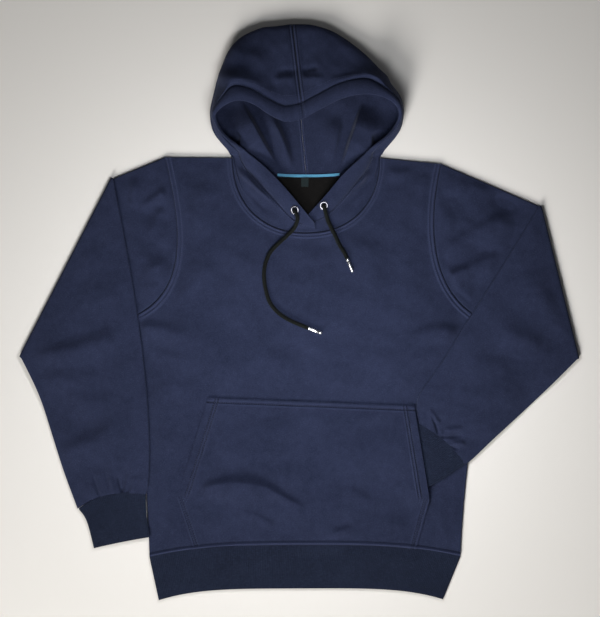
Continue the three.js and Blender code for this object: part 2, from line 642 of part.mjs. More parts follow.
// Where a row ends: on the front neckline, round the end of the shoulder seam or on the back neckline
function hoodEnd(name, row) {
  const rows = hoodRows[name];
  const next = rows[Math.min(Math.floor(row) + 1, lastHoodRow)];
  const share = lerp(rows[Math.floor(row)].end, next.end, row % 1);
  const front = row <= lastFrontRow;
  const point = neckPoint(name === "right" ? share : 1 - share, front ? neck.frontDepth : neck.backDepth);
  const inset = smoothstep(share, 0, 0.05);
  if (front) {
    const inward = insetPoint(point, new THREE.Vector2(neck.x, neck.y), seamGap * inset);
    const overlap = name === "right" ? hoodRim.overlap * smoothstep(inward.x, -34, -12) : 0;
    return new THREE.Vector3(inward.x, inward.y + 3 * seamGap * (1 - inset), pressedFleece + overlap);
  }
  const half = pressedFleece / 2;
  const outward = half * Math.sin(turnAt(row)) - seamGap * inset * (1 - 2 * share);
  return new THREE.Vector3(
    point.x + (name === "right" ? -outward : outward),
    point.y + seamGap * lerp(3, 2, inset),
    half + half * Math.cos(turnAt(row)),
  );
}

// Share of the way along a front row for each column
const frontShares = [[0, 0], [1, 0.62], [2, 0.93], [3, 0.975], [4, 1]];
function frontShare(column, channel) {
  const stops = [frontShares[0], [hoodRim.channelColumn, channel], ...frontShares.slice(1)];
  const next = clamp(stops.findIndex(([at]) => at >= column), 1, stops.length - 1);
  const [[a, from], [b, to]] = [stops[next - 1], stops[next]];
  return lerp(from, to, (column - a) / (b - a));
}

// The hood's outer face: column 0 at the rim, 2 at the side fold, 3 where it meets the surface below
function hoodPoint(name, row, column) {
  const table = between(hoodRows[name], row);
  const rim = new THREE.Vector3(...table.rim);
  const end = hoodEnd(name, row);
  if (row <= lastFrontRow) {
    const channel = Math.min(hoodRim.channelWidth / rim.distanceTo(end), 0.55);
    const share = frontShare(column, channel);
    const point = rim.clone().lerp(end, share);
    return point.setZ(lerp(end.z, rim.z, (1 - share) ** hoodSlump.front));
  }
  const mid = new THREE.Vector3(...table.mid);
  const fold = new THREE.Vector3(...table.fold);
  const foot = new THREE.Vector3(...table.foot);
  foot.z = Math.max(0, foot.z);
  const dropAt = (other) => new THREE.Vector3(0, 0, -Math.sqrt(6 * hoodFoldRadius * fold.distanceTo(other)));
  const through = fold.clone().sub(rim).multiplyScalar(0.5);
  const landing = end.clone().sub(foot);
  landing.multiplyScalar(Math.min(1, fold.distanceTo(foot) / foot.distanceTo(end)));
  const part = clamp(Math.floor(column), 0, 3);
  const f = column - part;
  let point = foot.clone().lerp(end, f);
  if (part === 0) {
    const channel = Math.min(hoodRim.channelWidth / rim.distanceTo(mid), 0.7);
    const edge = hoodRim.channelColumn;
    const share = f < edge ? (f / edge) * channel : lerp(channel, 1, (f - edge) / (1 - edge));
    point = hermite(rim, mid, mid.clone().sub(rim), through, share);
  }
  if (part === 1) point = hermite(mid, fold, through, dropAt(mid), 1 - (1 - f) ** hoodSlump.side);
  if (part === 2) point = hermite(fold, foot, dropAt(foot), landing, f);
  const ridge = innerFolds.reduce((sum, innerFold) => sum + foldRise(innerFold, point.x, point.y), 0);
  const inside = smoothstep(column, 2.8, 3.1) * smoothstep(4 - column, 0, 0.12);
  const seam = row === lastHoodRow ? seamGap / 2 : 0;
  point.x += name === "right" ? -seam : seam;
  return point.setZ(Math.max(0, point.z) + ridge * inside + gatherRise(row, column));
}

// Small waves of the cloth gathered into the rim at the top of the face opening
function gatherRise(row, column) {
  const { fromRow, rise, perRow } = hoodGathers;
  const strength = rise * Math.max(0, 1 - column) * smoothstep(row, fromRow, fromRow + 0.2);
  return strength * (0.5 - 0.5 * Math.cos(2 * Math.PI * perRow * (lastHoodRow - row)));
}

// Outward from the cloth, level with the panels' faces where it joins them or lies on the surface
function hoodNormal(name, row, column) {
  const step = 0.02;
  const front = row <= lastFrontRow;
  const rowA = Math.max(front ? 0 : lastFrontRow + 1, row - step);
  const rowB = Math.min(front ? lastFrontRow : lastHoodRow, front ? rowA + step : row + step);
  const [columnA, columnB] = [Math.max(0, column - step), Math.min(4, column + step)];
  const alongRows = hoodPoint(name, rowB, column).sub(hoodPoint(name, rowA, column));
  const alongColumns = hoodPoint(name, row, columnB).sub(hoodPoint(name, row, columnA));
  const outward = name === "right" ? -1 : 1;
  const normal = alongColumns.cross(alongRows).multiplyScalar(outward);
  if (row === lastHoodRow) normal.setX(0);
  const level = new THREE.Vector3(outward * Math.sin(turnAt(row)), 0, Math.cos(turnAt(row)));
  const free = front ? smoothstep(4 - column, 0, 1.2) : smoothstep(3 - column, 0, 0.4);
  return level.lerp(normal.normalize(), free).normalize();
}

// The rim is turned over a channel for the cord, so its wall is thicker there, on both faces
function channelRise(row, column) {
  const across = clamp(column / hoodRim.channelColumn, 0, 1);
  return hoodRim.channelRise * Math.sin(Math.PI * across) * smoothstep(row, 0.5, 2);
}

function hoodPanel(name) {
  const columns = [
    0, 0.11, 0.25, 0.39, 0.5, 0.75, 1, 1.2, 1.45, 1.75, 2, 2.15, 2.35, 2.6, 3, 3.25, 3.5, 3.75, 4,
  ];
  const rows = [0, 0.5, 1, 1.5, 2, 2.5, 3, 3.5, 4, 4.5, 5, 6, 7, 7.5];
  for (let row = 8; row < 15; row += 0.5) rows.push(row);
  for (let row = 15; row <= lastHoodRow; row += 0.25) rows.push(row);
  const face = (side) =>
    rows.map((row) =>
      columns.map((column) => {
        const outward = side === "outer" ? channelRise(row, column) : -fleece - channelRise(row, column);
        const point = hoodPoint(name, row, column);
        point.addScaledVector(hoodNormal(name, row, column), outward);
        return side === "outer" ? point.setZ(Math.max(0, point.z)) : point;
      }),
    );
  return wallBetween(face("outer"), face("inner"));
}

// The tape over the back neck seam, and the half-moon patch below it inside the back
function tapeWall() {
  const across = steps(10).map((share) => lerp(neckTape.from, neckTape.to, share));
  const seamY = (x) => {
    const share = (x - neck.x) / neck.halfWidth;
    return neck.y - neck.backDepth * (1 - Math.abs(share) ** neck.roundness) ** (1 / neck.roundness);
  };
  const edge = (side) => across.map((x) => new THREE.Vector2(x, seamY(x) + side * neckTape.width));
  const grid = [edge(-0.5), edge(0.5)];
  const floor = fleece + seamGap;
  return panelWall(grid, () => floor + neckTape.thickness, () => floor);
}

function patchWall() {
  const top = neck.y - neck.backDepth - neckTape.width / 2 - seamGap;
  const grid = [0, 0.5, 1].map((down) =>
    steps(12).map((share) => {
      const side = 2 * share - 1;
      const drop = neckPatch.depth * (1 - 0.75 * side * side);
      return new THREE.Vector2(neck.x + neckPatch.halfWidth * side, top - down * drop);
    }),
  );
  const floor = fleece + seamGap;
  return panelWall(grid, () => floor + neckPatch.thickness, () => floor);
}

function labelWall() {
  const top = neck.y - neck.backDepth - neckTape.width / 2 - seamGap;
  const floor = fleece + 2 * seamGap + neckPatch.thickness;
  const shape = new THREE.Shape();
  shape.moveTo(sizeLabel.x - sizeLabel.width / 2, top - sizeLabel.length);
  shape.lineTo(sizeLabel.x + sizeLabel.width / 2, top - sizeLabel.length);
  shape.lineTo(sizeLabel.x + sizeLabel.width / 2, top);
  shape.lineTo(sizeLabel.x - sizeLabel.width / 2, top);
  const geometry = new THREE.ExtrudeGeometry(shape, { depth: sizeLabel.thickness, bevelEnabled: false });
  return geometry.translate(0, 0, floor);
}

// Height of the cloth's surface at a place, the highest within a reach round it
const lookDown = new THREE.Raycaster();
function surfaceHeight(meshes, x, y, reach) {
  const round = steps(8).map((turn) => [Math.cos(2 * Math.PI * turn), Math.sin(2 * Math.PI * turn)]);
  const spots = [[0, 0], ...round];
  const heights = spots.map(([dx, dy]) => {
    lookDown.set(new THREE.Vector3(x + reach * dx, y + reach * dy, 100), new THREE.Vector3(0, 0, -1));
    const [hit] = lookDown.intersectObjects(meshes);
    return hit ? hit.point.z : 0;
  });
  return Math.max(...heights);
}

function eyeletSeat(name) {
  const { row, column } = eyeletPlaces[name];
  const normal = hoodNormal(name, row, column);
  const seat = hoodPoint(name, row, column).addScaledVector(normal, channelRise(row, column) + eyeletGap);
  return { seat, normal };
}

// A cord's centre line: over the eyelet's ring, then down onto the cloth and along its route
function cordLine(name, meshes) {
  const { seat, normal } = eyeletSeat(name);
  const start = seat.clone().addScaledVector(normal, eyelet.rise + cordRadius + 2 * seamGap);
  const laid = cordRoutes[name].map(({ x, y }) => {
    const z = surfaceHeight(meshes, x, y, cordRadius * 1.5) + cordRadius + seamGap;
    return new THREE.Vector3(x, y, z);
  });
  return new THREE.CatmullRomCurve3([start, ...laid]);
}

function cordTube(line) {
  const section = new THREE.Shape(
    steps(cordSides).slice(1).map((turn) => {
      const angle = 2 * Math.PI * turn;
      return new THREE.Vector2(cordRadius * Math.cos(angle), cordRadius * Math.sin(angle));
    }),
  );
  const count = Math.round(line.getLength() / (4 * cordRadius));
  return new THREE.ExtrudeGeometry(section, { extrudePath: line, steps: count, bevelEnabled: false });
}

function tipGeometry() {
  const { length, radius, sides } = tip;
  const domed = [[radius, length - 1.4], [radius * 0.7, length - 0.3], [0, length]];
  const profile = [[0, 0], [radius * 0.9, 0], [radius, 0.6], ...domed];
  return new THREE.LatheGeometry(profile.map(v2), sides);
}

function eyeletGeometry() {
  const { outer, hole, rise, segments } = eyelet;
  const flange = [[outer, 0], [outer - 0.3, rise * 0.6], [outer - 1.2, rise]];
  const profile = [[hole, 0], ...flange, [hole + 0.8, rise], [hole, rise * 0.7], [hole, 0]];
  return new THREE.LatheGeometry(profile.map(v2), segments);
}

const cloth = (color) => new THREE.MeshStandardMaterial({ color, roughness: 0.95, metalness: 0 });
const fleeceMaterial = cloth(colours.fleece);
const ribMaterial = cloth(colours.rib);
const blackMaterial = cloth(colours.black);
const blueMaterial = cloth(colours.blue);
const metalMaterial = new THREE.MeshStandardMaterial({ color: colours.metal, roughness: 0.3, metalness: 1 });

const hoodie = new THREE.Group();
function piece(name, geometry, material) {
  const mesh = new THREE.Mesh(geometry, material);
  mesh.name = name;
  hoodie.add(mesh);
  return mesh;
}

piece("front_panel", frontPanel(), fleeceMaterial);
piece("back_panel", backPanel(), fleeceMaterial);
piece("pocket", pocketPanel(), fleeceMaterial);
piece("hem_band", hemBand(), ribMaterial);
for (const name of ["right", "left"]) {
  piece(`sleeve_${name}`, sleeve(name), fleeceMaterial);
  piece(`cuff_${name}`, cuff(name), ribMaterial);
  piece(`hood_${name}`, hoodPanel(name), fleeceMaterial);
}
piece("neck_tape", tapeWall(), blueMaterial);
piece("neck_patch", patchWall(), blackMaterial);
piece("size_label", labelWall(), blackMaterial);

const upwards = new THREE.Vector3(0, 1, 0);
const layers = hoodie.children.filter(({ name }) => name === "front_panel" || name.startsWith("hood_"));
for (const name of ["right", "left"]) {
  const { seat, normal } = eyeletSeat(name);
  const ring = piece(`eyelet_${name}`, eyeletGeometry(), metalMaterial);
  ring.position.copy(seat);
  ring.quaternion.setFromUnitVectors(upwards, normal);

  const line = cordLine(name, layers);
  piece(`drawcord_${name}`, cordTube(line), blackMaterial);

  const [from, along] = [line.getPoint(1), line.getTangent(1)];
  const { x, y } = from.clone().addScaledVector(along, tip.length);
  const end = new THREE.Vector3(x, y, surfaceHeight(layers, x, y, tip.radius) + tip.radius + 2 * seamGap);
  const cap = piece(`tip_${name}`, tipGeometry(), metalMaterial);
  const lie = end.sub(from).normalize();
  cap.quaternion.setFromUnitVectors(upwards, lie);
  cap.position.copy(from).addScaledVector(lie, tip.gap);
}

export default hoodie;
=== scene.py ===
# A fleece pullover hoodie laid face up, dressed over its solids.
# Sizes are in millimetres, until a mesh is made from them.
import math

import bmesh
import bpy
import numpy as np
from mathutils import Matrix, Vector
from mathutils.bvhtree import BVHTree


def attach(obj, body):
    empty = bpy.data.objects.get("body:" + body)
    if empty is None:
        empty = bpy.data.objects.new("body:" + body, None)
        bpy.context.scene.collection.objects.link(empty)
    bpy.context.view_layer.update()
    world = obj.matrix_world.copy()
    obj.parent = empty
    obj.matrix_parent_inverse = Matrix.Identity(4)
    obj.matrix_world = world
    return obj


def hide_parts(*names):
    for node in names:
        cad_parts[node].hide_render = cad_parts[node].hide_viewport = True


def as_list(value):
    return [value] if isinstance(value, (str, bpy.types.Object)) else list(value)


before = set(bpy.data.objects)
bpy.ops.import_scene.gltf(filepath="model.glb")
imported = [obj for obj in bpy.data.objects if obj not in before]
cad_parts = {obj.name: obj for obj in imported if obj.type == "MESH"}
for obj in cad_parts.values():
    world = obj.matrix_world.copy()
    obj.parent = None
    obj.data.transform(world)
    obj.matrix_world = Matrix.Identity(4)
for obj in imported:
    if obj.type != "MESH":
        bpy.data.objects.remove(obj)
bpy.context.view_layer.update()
mm = 0.001

print("stage: camera, floor and light")
camera = {"pixel": 1.5, "width": 600, "height": 617, "x": 0.75, "y": 5.25, "distance": 4000, "sensor": 36}
studio = {
    "floorColour": (0.74, 0.72, 0.69),
    "worldLight": 0.06,
    # A low window on the hem's side, a lamp close over the chest, and a faint light from the hood's side
    "window": {"at": (-900, -2500, 1500), "size": 1100, "power": 112, "colour": (1.0, 0.98, 0.95)},
    "overhead": {"at": (10, -30, 480), "size": 260, "power": 2.5, "colour": (0.97, 0.98, 1.0)},
    "back": {"at": (500, 2100, 1500), "size": 1600, "power": 1.5, "colour": (0.92, 0.95, 1.0)},
}


def makeCamera():
    data = bpy.data.cameras.new("overhead")
    data.sensor_width = camera["sensor"]
    longSide = camera["pixel"] * max(camera["width"], camera["height"])
    data.lens = camera["sensor"] * camera["distance"] / longSide
    seen = bpy.data.objects.new("overhead", data)
    seen.location = (camera["x"] * mm, camera["y"] * mm, camera["distance"] * mm)
    bpy.context.collection.objects.link(seen)
    bpy.context.scene.camera = seen


def makeLight(name, facts):
    data = bpy.data.lights.new(name, "AREA")
    data.size = facts["size"] * mm
    data.energy = facts["power"]
    data.color = facts["colour"]
    lamp = bpy.data.objects.new(name, data)
    lamp.location = Vector(facts["at"]) * mm
    if name != "overhead":
        lamp.rotation_euler = (-lamp.location).to_track_quat("-Z", "Y").to_euler()
    lamp.visible_camera = False
    bpy.context.collection.objects.link(lamp)


def makeStudio():
    for name in ("window", "overhead", "back"):
        makeLight(name, studio[name])
    world = bpy.data.worlds.new("softRoom")
    world.use_nodes = True
    world.node_tree.nodes["Background"].inputs["Color"].default_value = (0.95, 0.97, 1.0, 1.0)
    world.node_tree.nodes["Background"].inputs["Strength"].default_value = studio["worldLight"]
    bpy.context.scene.world = world
    bpy.context.scene.view_settings.view_transform = "Standard"

    material = bpy.data.materials.new("palePaper")
    material.use_nodes = True
    shader = material.node_tree.nodes["Principled BSDF"]
    shader.inputs["Base Color"].default_value = (*studio["floorColour"], 1)
    shader.inputs["Roughness"].default_value = 0.8
    mesh = bpy.data.meshes.new("floor")
    side = 6.0
    mesh.from_pydata([(-side, -side, 0), (side, -side, 0), (side, side, 0), (-side, side, 0)], [],
                     [(0, 1, 2, 3)])
    mesh.materials.append(material)
    floor = bpy.data.objects.new("floor", mesh)
    floor.location = (0, 0, -0.0004)
    bpy.context.collection.objects.link(floor)


makeCamera()
makeStudio()

# The garment's cut, as laid
cloth = {"fleece": 1.8, "rib": 2.0, "seamGap": 0.3, "foldGap": 0.4}
pressedFleece = 2 * cloth["fleece"] + cloth["seamGap"]
pressedRib = 2 * cloth["rib"] + cloth["seamGap"]
foldCentre = pressedFleece + cloth["foldGap"] / 2

neck = {"x": 10, "y": 231, "halfWidth": 110, "frontDepth": 112, "backDepth": 27, "roundness": 2.2}
hem = {
    "seam": {"left": (-225, -368), "right": (241, -367), "arch": 18, "flatness": 3},
    "edge": {"left": (-211, -432), "right": (215, -430.5), "arch": 17, "flatness": 4},
    "swell": 0.9,
}
body = {
    "right": {
        "side": [(-225, -368), (-231, -170), (-257, -9)],
        "armhole": [(-257, -9), (-152, 28), (-186, 160), (-202, 232)],
    },
    "left": {
        "side": [(241, -367), (246, -230), (283, -15)],
        "armhole": [(283, -15), (186, 25), (196, 150), (213, 222)],
    },
    "sideShare": 0.575,  # of each side's length below the underarm
    "shoulders": (0.187, 0.172),  # shares of the top edge
    "sideReach": 0.27,
}
front = {
    "folds": [
        {"at": (-235, -25), "to": (-120, -70), "rise": 1.3, "reach": 20},
        {"at": (250, -25), "to": (140, -70), "rise": 1.0, "reach": 20},
        {"at": (-150, 40), "to": (-120, -110), "rise": 0.9, "reach": 26},
        {"at": (110, 90), "to": (90, -90), "rise": 0.9, "reach": 26},
    ],
    "calm": 1.2, "most": 3.3, "edgeFrom": 6, "edgeTo": 42,
}
pocket = {
    "right": [(-160, -352), (-184, -279), (-137, -129)],
    "left": [(175, -356), (195, -282), (172, -141)],
    "lowerShare": 0.34, "band": 13, "bandRise": 0.8, "tucked": pressedRib + cloth["foldGap"] + 1.2,
    "folds": [
        {"at": (-150, -275), "to": (-120, -250), "rise": 1.4, "reach": 22},
        {"at": (-120, -245), "to": (-60, -250), "rise": 2.0, "reach": 22},
        {"at": (-60, -255), "to": (0, -300), "rise": 1.4, "reach": 22},
        {"at": (30, -325), "to": (80, -300), "rise": 1.6, "reach": 18},
        {"at": (40, -190), "to": (110, -215), "rise": 1.0, "reach": 26},
    ],
    "calm": 0.9, "most": 3.2, "edgeFrom": 4, "edgeTo": 45,
}
# A sleeve's rows run from its fold line to the cuff: near edge x, y, outer edge x, y, and bow
sleeves = {
    "right": {
        "outward": -1,
        "rows": [(-279, 200, -417, -69, 0), (-257, 83, -391, -123, 0), (-238, -36, -372, -181, 2),
                 (-226, -156, -354, -238, 5), (-225, -245, -337, -284, 10), (-230, -275, -333, -295, 12)],
        "cuff": [(-230, -275, -331, -296, 12), (-229, -303, -319, -313, 6), (-224, -337, -308, -354, 1)],
        "pleats": [(0.3, 1), (0.37, 0.8), (0.68, 1)],
    },
    "left": {
        "outward": 1,
        "rows": [(359, 159, 416, -71, 0), (313, 84, 377, -110, 1), (261, 2, 335, -150, 3),
                 (212, -76, 291, -190, 5), (177, -128, 262, -218, 6), (179, -168, 248, -229, 7)],
        "cuff": [(179, -168, 246, -229, 7), (151, -190, 215, -249, 4), (123, -213, 184, -269, 1)],
        "pleats": [(0.36, 1), (0.46, 1), (0.68, 0.9)],
    },
    "upperSwell": 2.2, "lowerSwell": 2.4, "cuffSwell": 0.6, "seamDip": 0.9, "seamDipWidth": 1.6,
           "pleatWidth": 0.035, "pleatReach": 0.3,
    "rampFrom": 38, "rampTo": 85, "spread": 18,
}
hood = {
    "front": {
        "right": [(22, 134, 12, 0.535), (5, 154, 14, 0.43), (-20, 184, 17, 0.28),
                  (-46, 211, 20, 0.13), (-66, 228, 22, 0.045), (-80, 239, 23, 0)],
        "left": [(14, 147, 7.5, 0.537), (26, 160, 11, 0.43), (43, 179, 15, 0.3),
                 (63, 203, 20, 0.16), (82, 221, 23, 0.06), (98, 235, 24, 0)],
    },
    # rim x, y, z, middle x, y, z, side fold x, y, z, foot x, y, z, and share round the neckline
    "sides": {
        "right": [
            (-82, 241, 24, -95, 239, 13, -102.5, 237, 6, -102, 234, 2.8, 0),
            (-85, 243, 25, -98, 243, 16, -106, 243, 8, -101, 237, 0.3, 0),
            (-97, 252, 27, -107, 253, 22, -115, 253, 12, -95, 244, 0, 0.05),
            (-111, 264, 28, -119, 266, 25, -126, 266, 14, -90, 258, 0, 0.12),
            (-121, 278, 29, -127, 280, 26, -132, 280, 15, -84, 277, 0, 0.19),
            (-126, 294, 32, -131, 299, 27, -134, 301, 15, -78, 298, 0, 0.25),
            (-109, 309, 34, -120, 322, 28, -128, 328, 14, -74, 322, 0, 0.31),
            (-88, 315, 34, -103, 348, 27, -119, 360, 13, -69, 350, 0, 0.36),
            (-65, 308, 29, -79, 364, 23, -98, 403, 12, -56, 378, 0, 0.41),
            (-46, 295, 22, -52, 367, 19, -62, 424, 11, -41, 400, 0, 0.45),
            (-20, 284, 16, -27, 366, 17, -35, 428, 10.5, -26, 412, 0, 0.48),
            (6, 289, 16, -3, 363, 16, -11, 431, 10, -10, 419, 0, 0.5),
        ],
        "left": [
            (101, 238, 24, 114, 239, 14, 122.5, 237, 6, 122, 234, 2.8, 0),
            (104, 241, 25, 117, 243, 16, 126, 243, 8, 121, 237, 0.3, 0),
            (113, 249, 27, 126, 252, 22, 135, 253, 12, 115, 244, 0, 0.05),
            (127, 260, 28, 137, 263, 25, 145, 264, 14, 110, 258, 0, 0.12),
            (141, 275, 29, 148, 277, 26, 153, 278, 15, 104, 277, 0, 0.19),
            (149, 292, 32, 154, 298, 28, 156, 300, 15, 98, 298, 0, 0.25),
            (143, 309, 35, 148, 320, 28, 150, 324, 14, 93, 322, 0, 0.31),
            (121, 321, 36, 126, 341, 28, 131, 348, 13, 85, 344, 0, 0.36),
            (92, 324, 32, 96, 363, 23, 103, 381, 12, 66, 366, 0, 0.41),
            (61, 317, 26, 58, 373, 19, 61, 414, 11, 42, 392, 0, 0.45),
            (30, 302, 20, 25, 371, 17, 23, 429, 10.5, 17, 410, 0, 0.48),
            (6, 289, 16, -3, 363, 16, -11, 431, 10, -10, 419, 0, 0.5),
        ],
    },
    "foldRadius": 4.5, "channelWidth": 24, "channelRise": 1.2, "channelColumn": 0.5, "overlap": 2.3,
    "gatherFrom": 15.4, "gatherRise": 1.2, "gathersPerRow": 2,
    "innerFolds": [
        {"at": (-48, 296), "to": (-20, 226), "rise": 8, "reach": 9},
        {"at": (78, 300), "to": (56, 236), "rise": 3, "reach": 12},
    ],
}


# Small arithmetic on arrays of points
def smoothstep(value, low, high):
    share = np.clip((np.asarray(value, float) - low) / (high - low), 0, 1)
    return share * share * (3 - 2 * share)


def mix(a, b, share):
    share = np.asarray(share, float)
    return a + (b - a) * (share[..., None] if share.ndim else share)


def bezier(points, shares):
    line = [np.tile(np.array(p, float), (len(shares), 1)) for p in points]
    while len(line) > 1:
        line = [mix(a, b, shares) for a, b in zip(line, line[1:])]
    return line[0]


def evenLine(points):
    steps = np.linalg.norm(np.diff(points, axis=0), axis=1)
    return points, np.concatenate([[0], np.cumsum(steps)]) / steps.sum()


def onLine(line, share):
    points, at = line
    return np.stack([np.interp(share, at, points[:, k]) for k in range(points.shape[1])], -1)


def unit(vector):
    return vector / np.maximum(np.linalg.norm(vector, axis=-1, keepdims=True), 1e-9)


def easedRow(rows, at):
    rows = np.asarray(rows, float)
    k = min(max(int(math.floor(at)), 0), len(rows) - 2)
    f = at - k
    a, b, c, d = rows[max(k - 1, 0)], rows[k], rows[k + 1], rows[min(k + 2, len(rows) - 1)]
    return b + 0.5 * f * (c - a + f * (2 * a - 5 * b + 4 * c - d + f * (3 * b - a - 3 * c + d)))


def gapTo(line, points):
    # Distance of each point from a line, and how far along the line its nearest place is
    a, b = line[:-1], line[1:]
    step = b - a
    length = np.maximum((step ** 2).sum(1), 1e-9)
    gaps, shares = [], []
    for chunk in np.array_split(points[:, :2], max(1, len(points) // 8000)):
        reach = chunk[:, None] - a[None]
        along = np.clip((reach * step).sum(2) / length, 0, 1)
        gap = np.linalg.norm(reach - along[..., None] * step, axis=2)
        nearest = gap.argmin(1)
        pick = np.arange(len(chunk))
        gaps.append(gap[pick, nearest])
        shares.append((nearest + along[pick, nearest]) / len(a))
    return np.concatenate(gaps), np.concatenate(shares)


def depthInside(outline, points):
    # Distance from a closed outline, positive inside it
    closed = np.vstack([outline, outline[:1]])
    gap, _ = gapTo(closed, points)
    inside = np.zeros(len(points), bool)
    for a, b in zip(closed, closed[1:]):
        crosses = (a[1] > points[:, 1]) != (b[1] > points[:, 1])
        if crosses.any():
            inside ^= crosses & (points[:, 0] < a[0] + (points[:, 1] - a[1]) / (b[1] - a[1]) * (b[0] - a[0]))
    return np.where(inside, gap, -gap)


# The seams and edges of the body
evenShares = np.linspace(0, 1, 300)
sideLines = {name: evenLine(bezier(body[name]["side"], evenShares)) for name in ("right", "left")}
armholes = {name: evenLine(bezier(body[name]["armhole"], evenShares)) for name in ("right", "left")}


def neckPoint(turn, depth):
    angle = np.pi * np.asarray(turn, float)
    power = 2 / neck["roundness"]
    aside = np.sign(np.cos(angle)) * np.abs(np.cos(angle)) ** power
    down = np.abs(np.sin(angle)) ** power
    return np.stack([neck["x"] - neck["halfWidth"] * aside, neck["y"] - depth * down], -1)


def archPoint(edge, share):
    share = np.asarray(share, float)
    point = mix(np.array(edge["left"], float), np.array(edge["right"], float), share)
    point[..., 1] += edge["arch"] * (1 - np.abs(2 * share - 1) ** edge["flatness"])
    return point


def bodyEdge(name, share):
    cut = body["sideShare"]
    share = np.asarray(share, float)
    low = onLine(sideLines[name], np.clip(share / cut, 0, 1))
    high = onLine(armholes[name], np.clip((share - cut) / (1 - cut), 0, 1))
    return np.where((share < cut)[..., None], low, high)


def bodyTop(share, depth):
    share = np.asarray(share, float)
    first, last = body["shoulders"][0], 1 - body["shoulders"][1]
    middle = neckPoint(np.clip((share - first) / (last - first), 0, 1), depth)
    right = mix(np.array(body["right"]["armhole"][3], float), neckPoint(0, depth),
                np.clip(share / first, 0, 1))
    left = mix(neckPoint(1, depth), np.array(body["left"]["armhole"][3], float),
               np.clip((share - last) / (1 - last), 0, 1))
    return np.where((share < first)[..., None], right, np.where((share > last)[..., None], left, middle))


def patchPlan(patch, u, v):
    bottom, top, right, left = patch
    point = mix(bottom(u), top(u), v)
    for side, end, near in ((right, 0, 1 - u / body["sideReach"]),
                            (left, 1, 1 - (1 - u) / body["sideReach"])):
        bulge = side(v) - mix(bottom(end), top(end), v)
        point = point + bulge * np.maximum(0, near)[..., None]
    return point


def bodyPatch(depth):
    return (lambda u: archPoint(hem["seam"], u), lambda u: bodyTop(u, depth),
            lambda v: bodyEdge("right", v), lambda v: bodyEdge("left", v))


def pocketSide(name):
    corners = np.array(pocket[name], float)
    return lambda v: onLine((corners, np.array([0, pocket["lowerShare"], 1])), v)


def pocketBottom(u):
    seam = hem["seam"]
    share = [(pocket[name][0][0] - seam["left"][0]) / (seam["right"][0] - seam["left"][0])
             for name in ("right", "left")]
    return archPoint(seam, share[0] + (share[1] - share[0]) * np.asarray(u, float))


pocketPatch = (pocketBottom,
               lambda u: mix(np.array(pocket["right"][2], float), np.array(pocket["left"][2], float), u),
               pocketSide("right"), pocketSide("left"))


def outlineOf(patch):
    bottom, top, right, left = patch
    share = np.linspace(0, 1, 41)
    return np.vstack([bottom(share), left(share), top(share)[::-1], right(share)[::-1]])


pocketOutline = outlineOf(pocketPatch)
frontOutline = outlineOf(bodyPatch(neck["frontDepth"]))
bodyOutline = outlineOf(bodyPatch(neck["backDepth"]))
lowerOutlines, upperOutlines = {}, {}
for name in ("right", "left"):
    rows = np.array(sleeves[name]["rows"], float)
    lowerOutlines[name] = np.vstack([rows[:, :2], rows[::-1, 2:4]])
    upperOutlines[name] = np.vstack([onLine(armholes[name], np.linspace(1, 0, 13)), rows[:1, 2:4],
                                     rows[:1, :2]])
cuffRows = np.array(sleeves["left"]["cuff"], float)
tuckedOutline = np.vstack([cuffRows[:, :2], cuffRows[::-1, 2:4]])


# Heights of the layers, as the solids have them
def foldRise(fold, points):
    start, end = np.array(fold["at"], float), np.array(fold["to"], float)
    run = end - start
    length = np.linalg.norm(run)
    reach = points[:, :2] - start
    along = reach @ run / length
    aside = (reach[:, 0] * run[1] - reach[:, 1] * run[0]) / length
    past = np.maximum(0, np.maximum(-along, along - length))
    return fold["rise"] * np.exp(-((aside / fold["reach"]) ** 2) - (past / fold["reach"]) ** 2)


def swellRise(facts, outline, points):
    rise = facts["calm"] + sum(foldRise(fold, points) for fold in facts["folds"])
    edge = smoothstep(depthInside(outline, points), facts["edgeFrom"], facts["edgeTo"])
    return np.clip(rise, 0, facts["most"]) * edge


def frontRise(points):
    besidePocket = smoothstep(-depthInside(pocketOutline, points), 20, 50)
    return swellRise(front, frontOutline, points) * besidePocket


def layersBelow(name, points):
    outside = -np.maximum(depthInside(bodyOutline, points), depthInside(upperOutlines[name], points))
    lift = ((pressedFleece + cloth["foldGap"])
            * (1 - smoothstep(outside, sleeves["rampFrom"], sleeves["rampTo"])))
    shifts = sleeves["spread"] * np.array([(0, 0), (1, 0), (0, 1), (-1, 0), (0, -1)])
    return lift + np.max([frontRise(points + shift) for shift in shifts], axis=0)


def pocketFloor(points):
    tucked = 1 - smoothstep(-depthInside(tuckedOutline, points), 6, 34)
    swell = swellRise(pocket, pocketOutline, points) * (1 - tucked)
    return pressedFleece + frontRise(points) + cloth["seamGap"] + pocket["tucked"] * tucked + swell


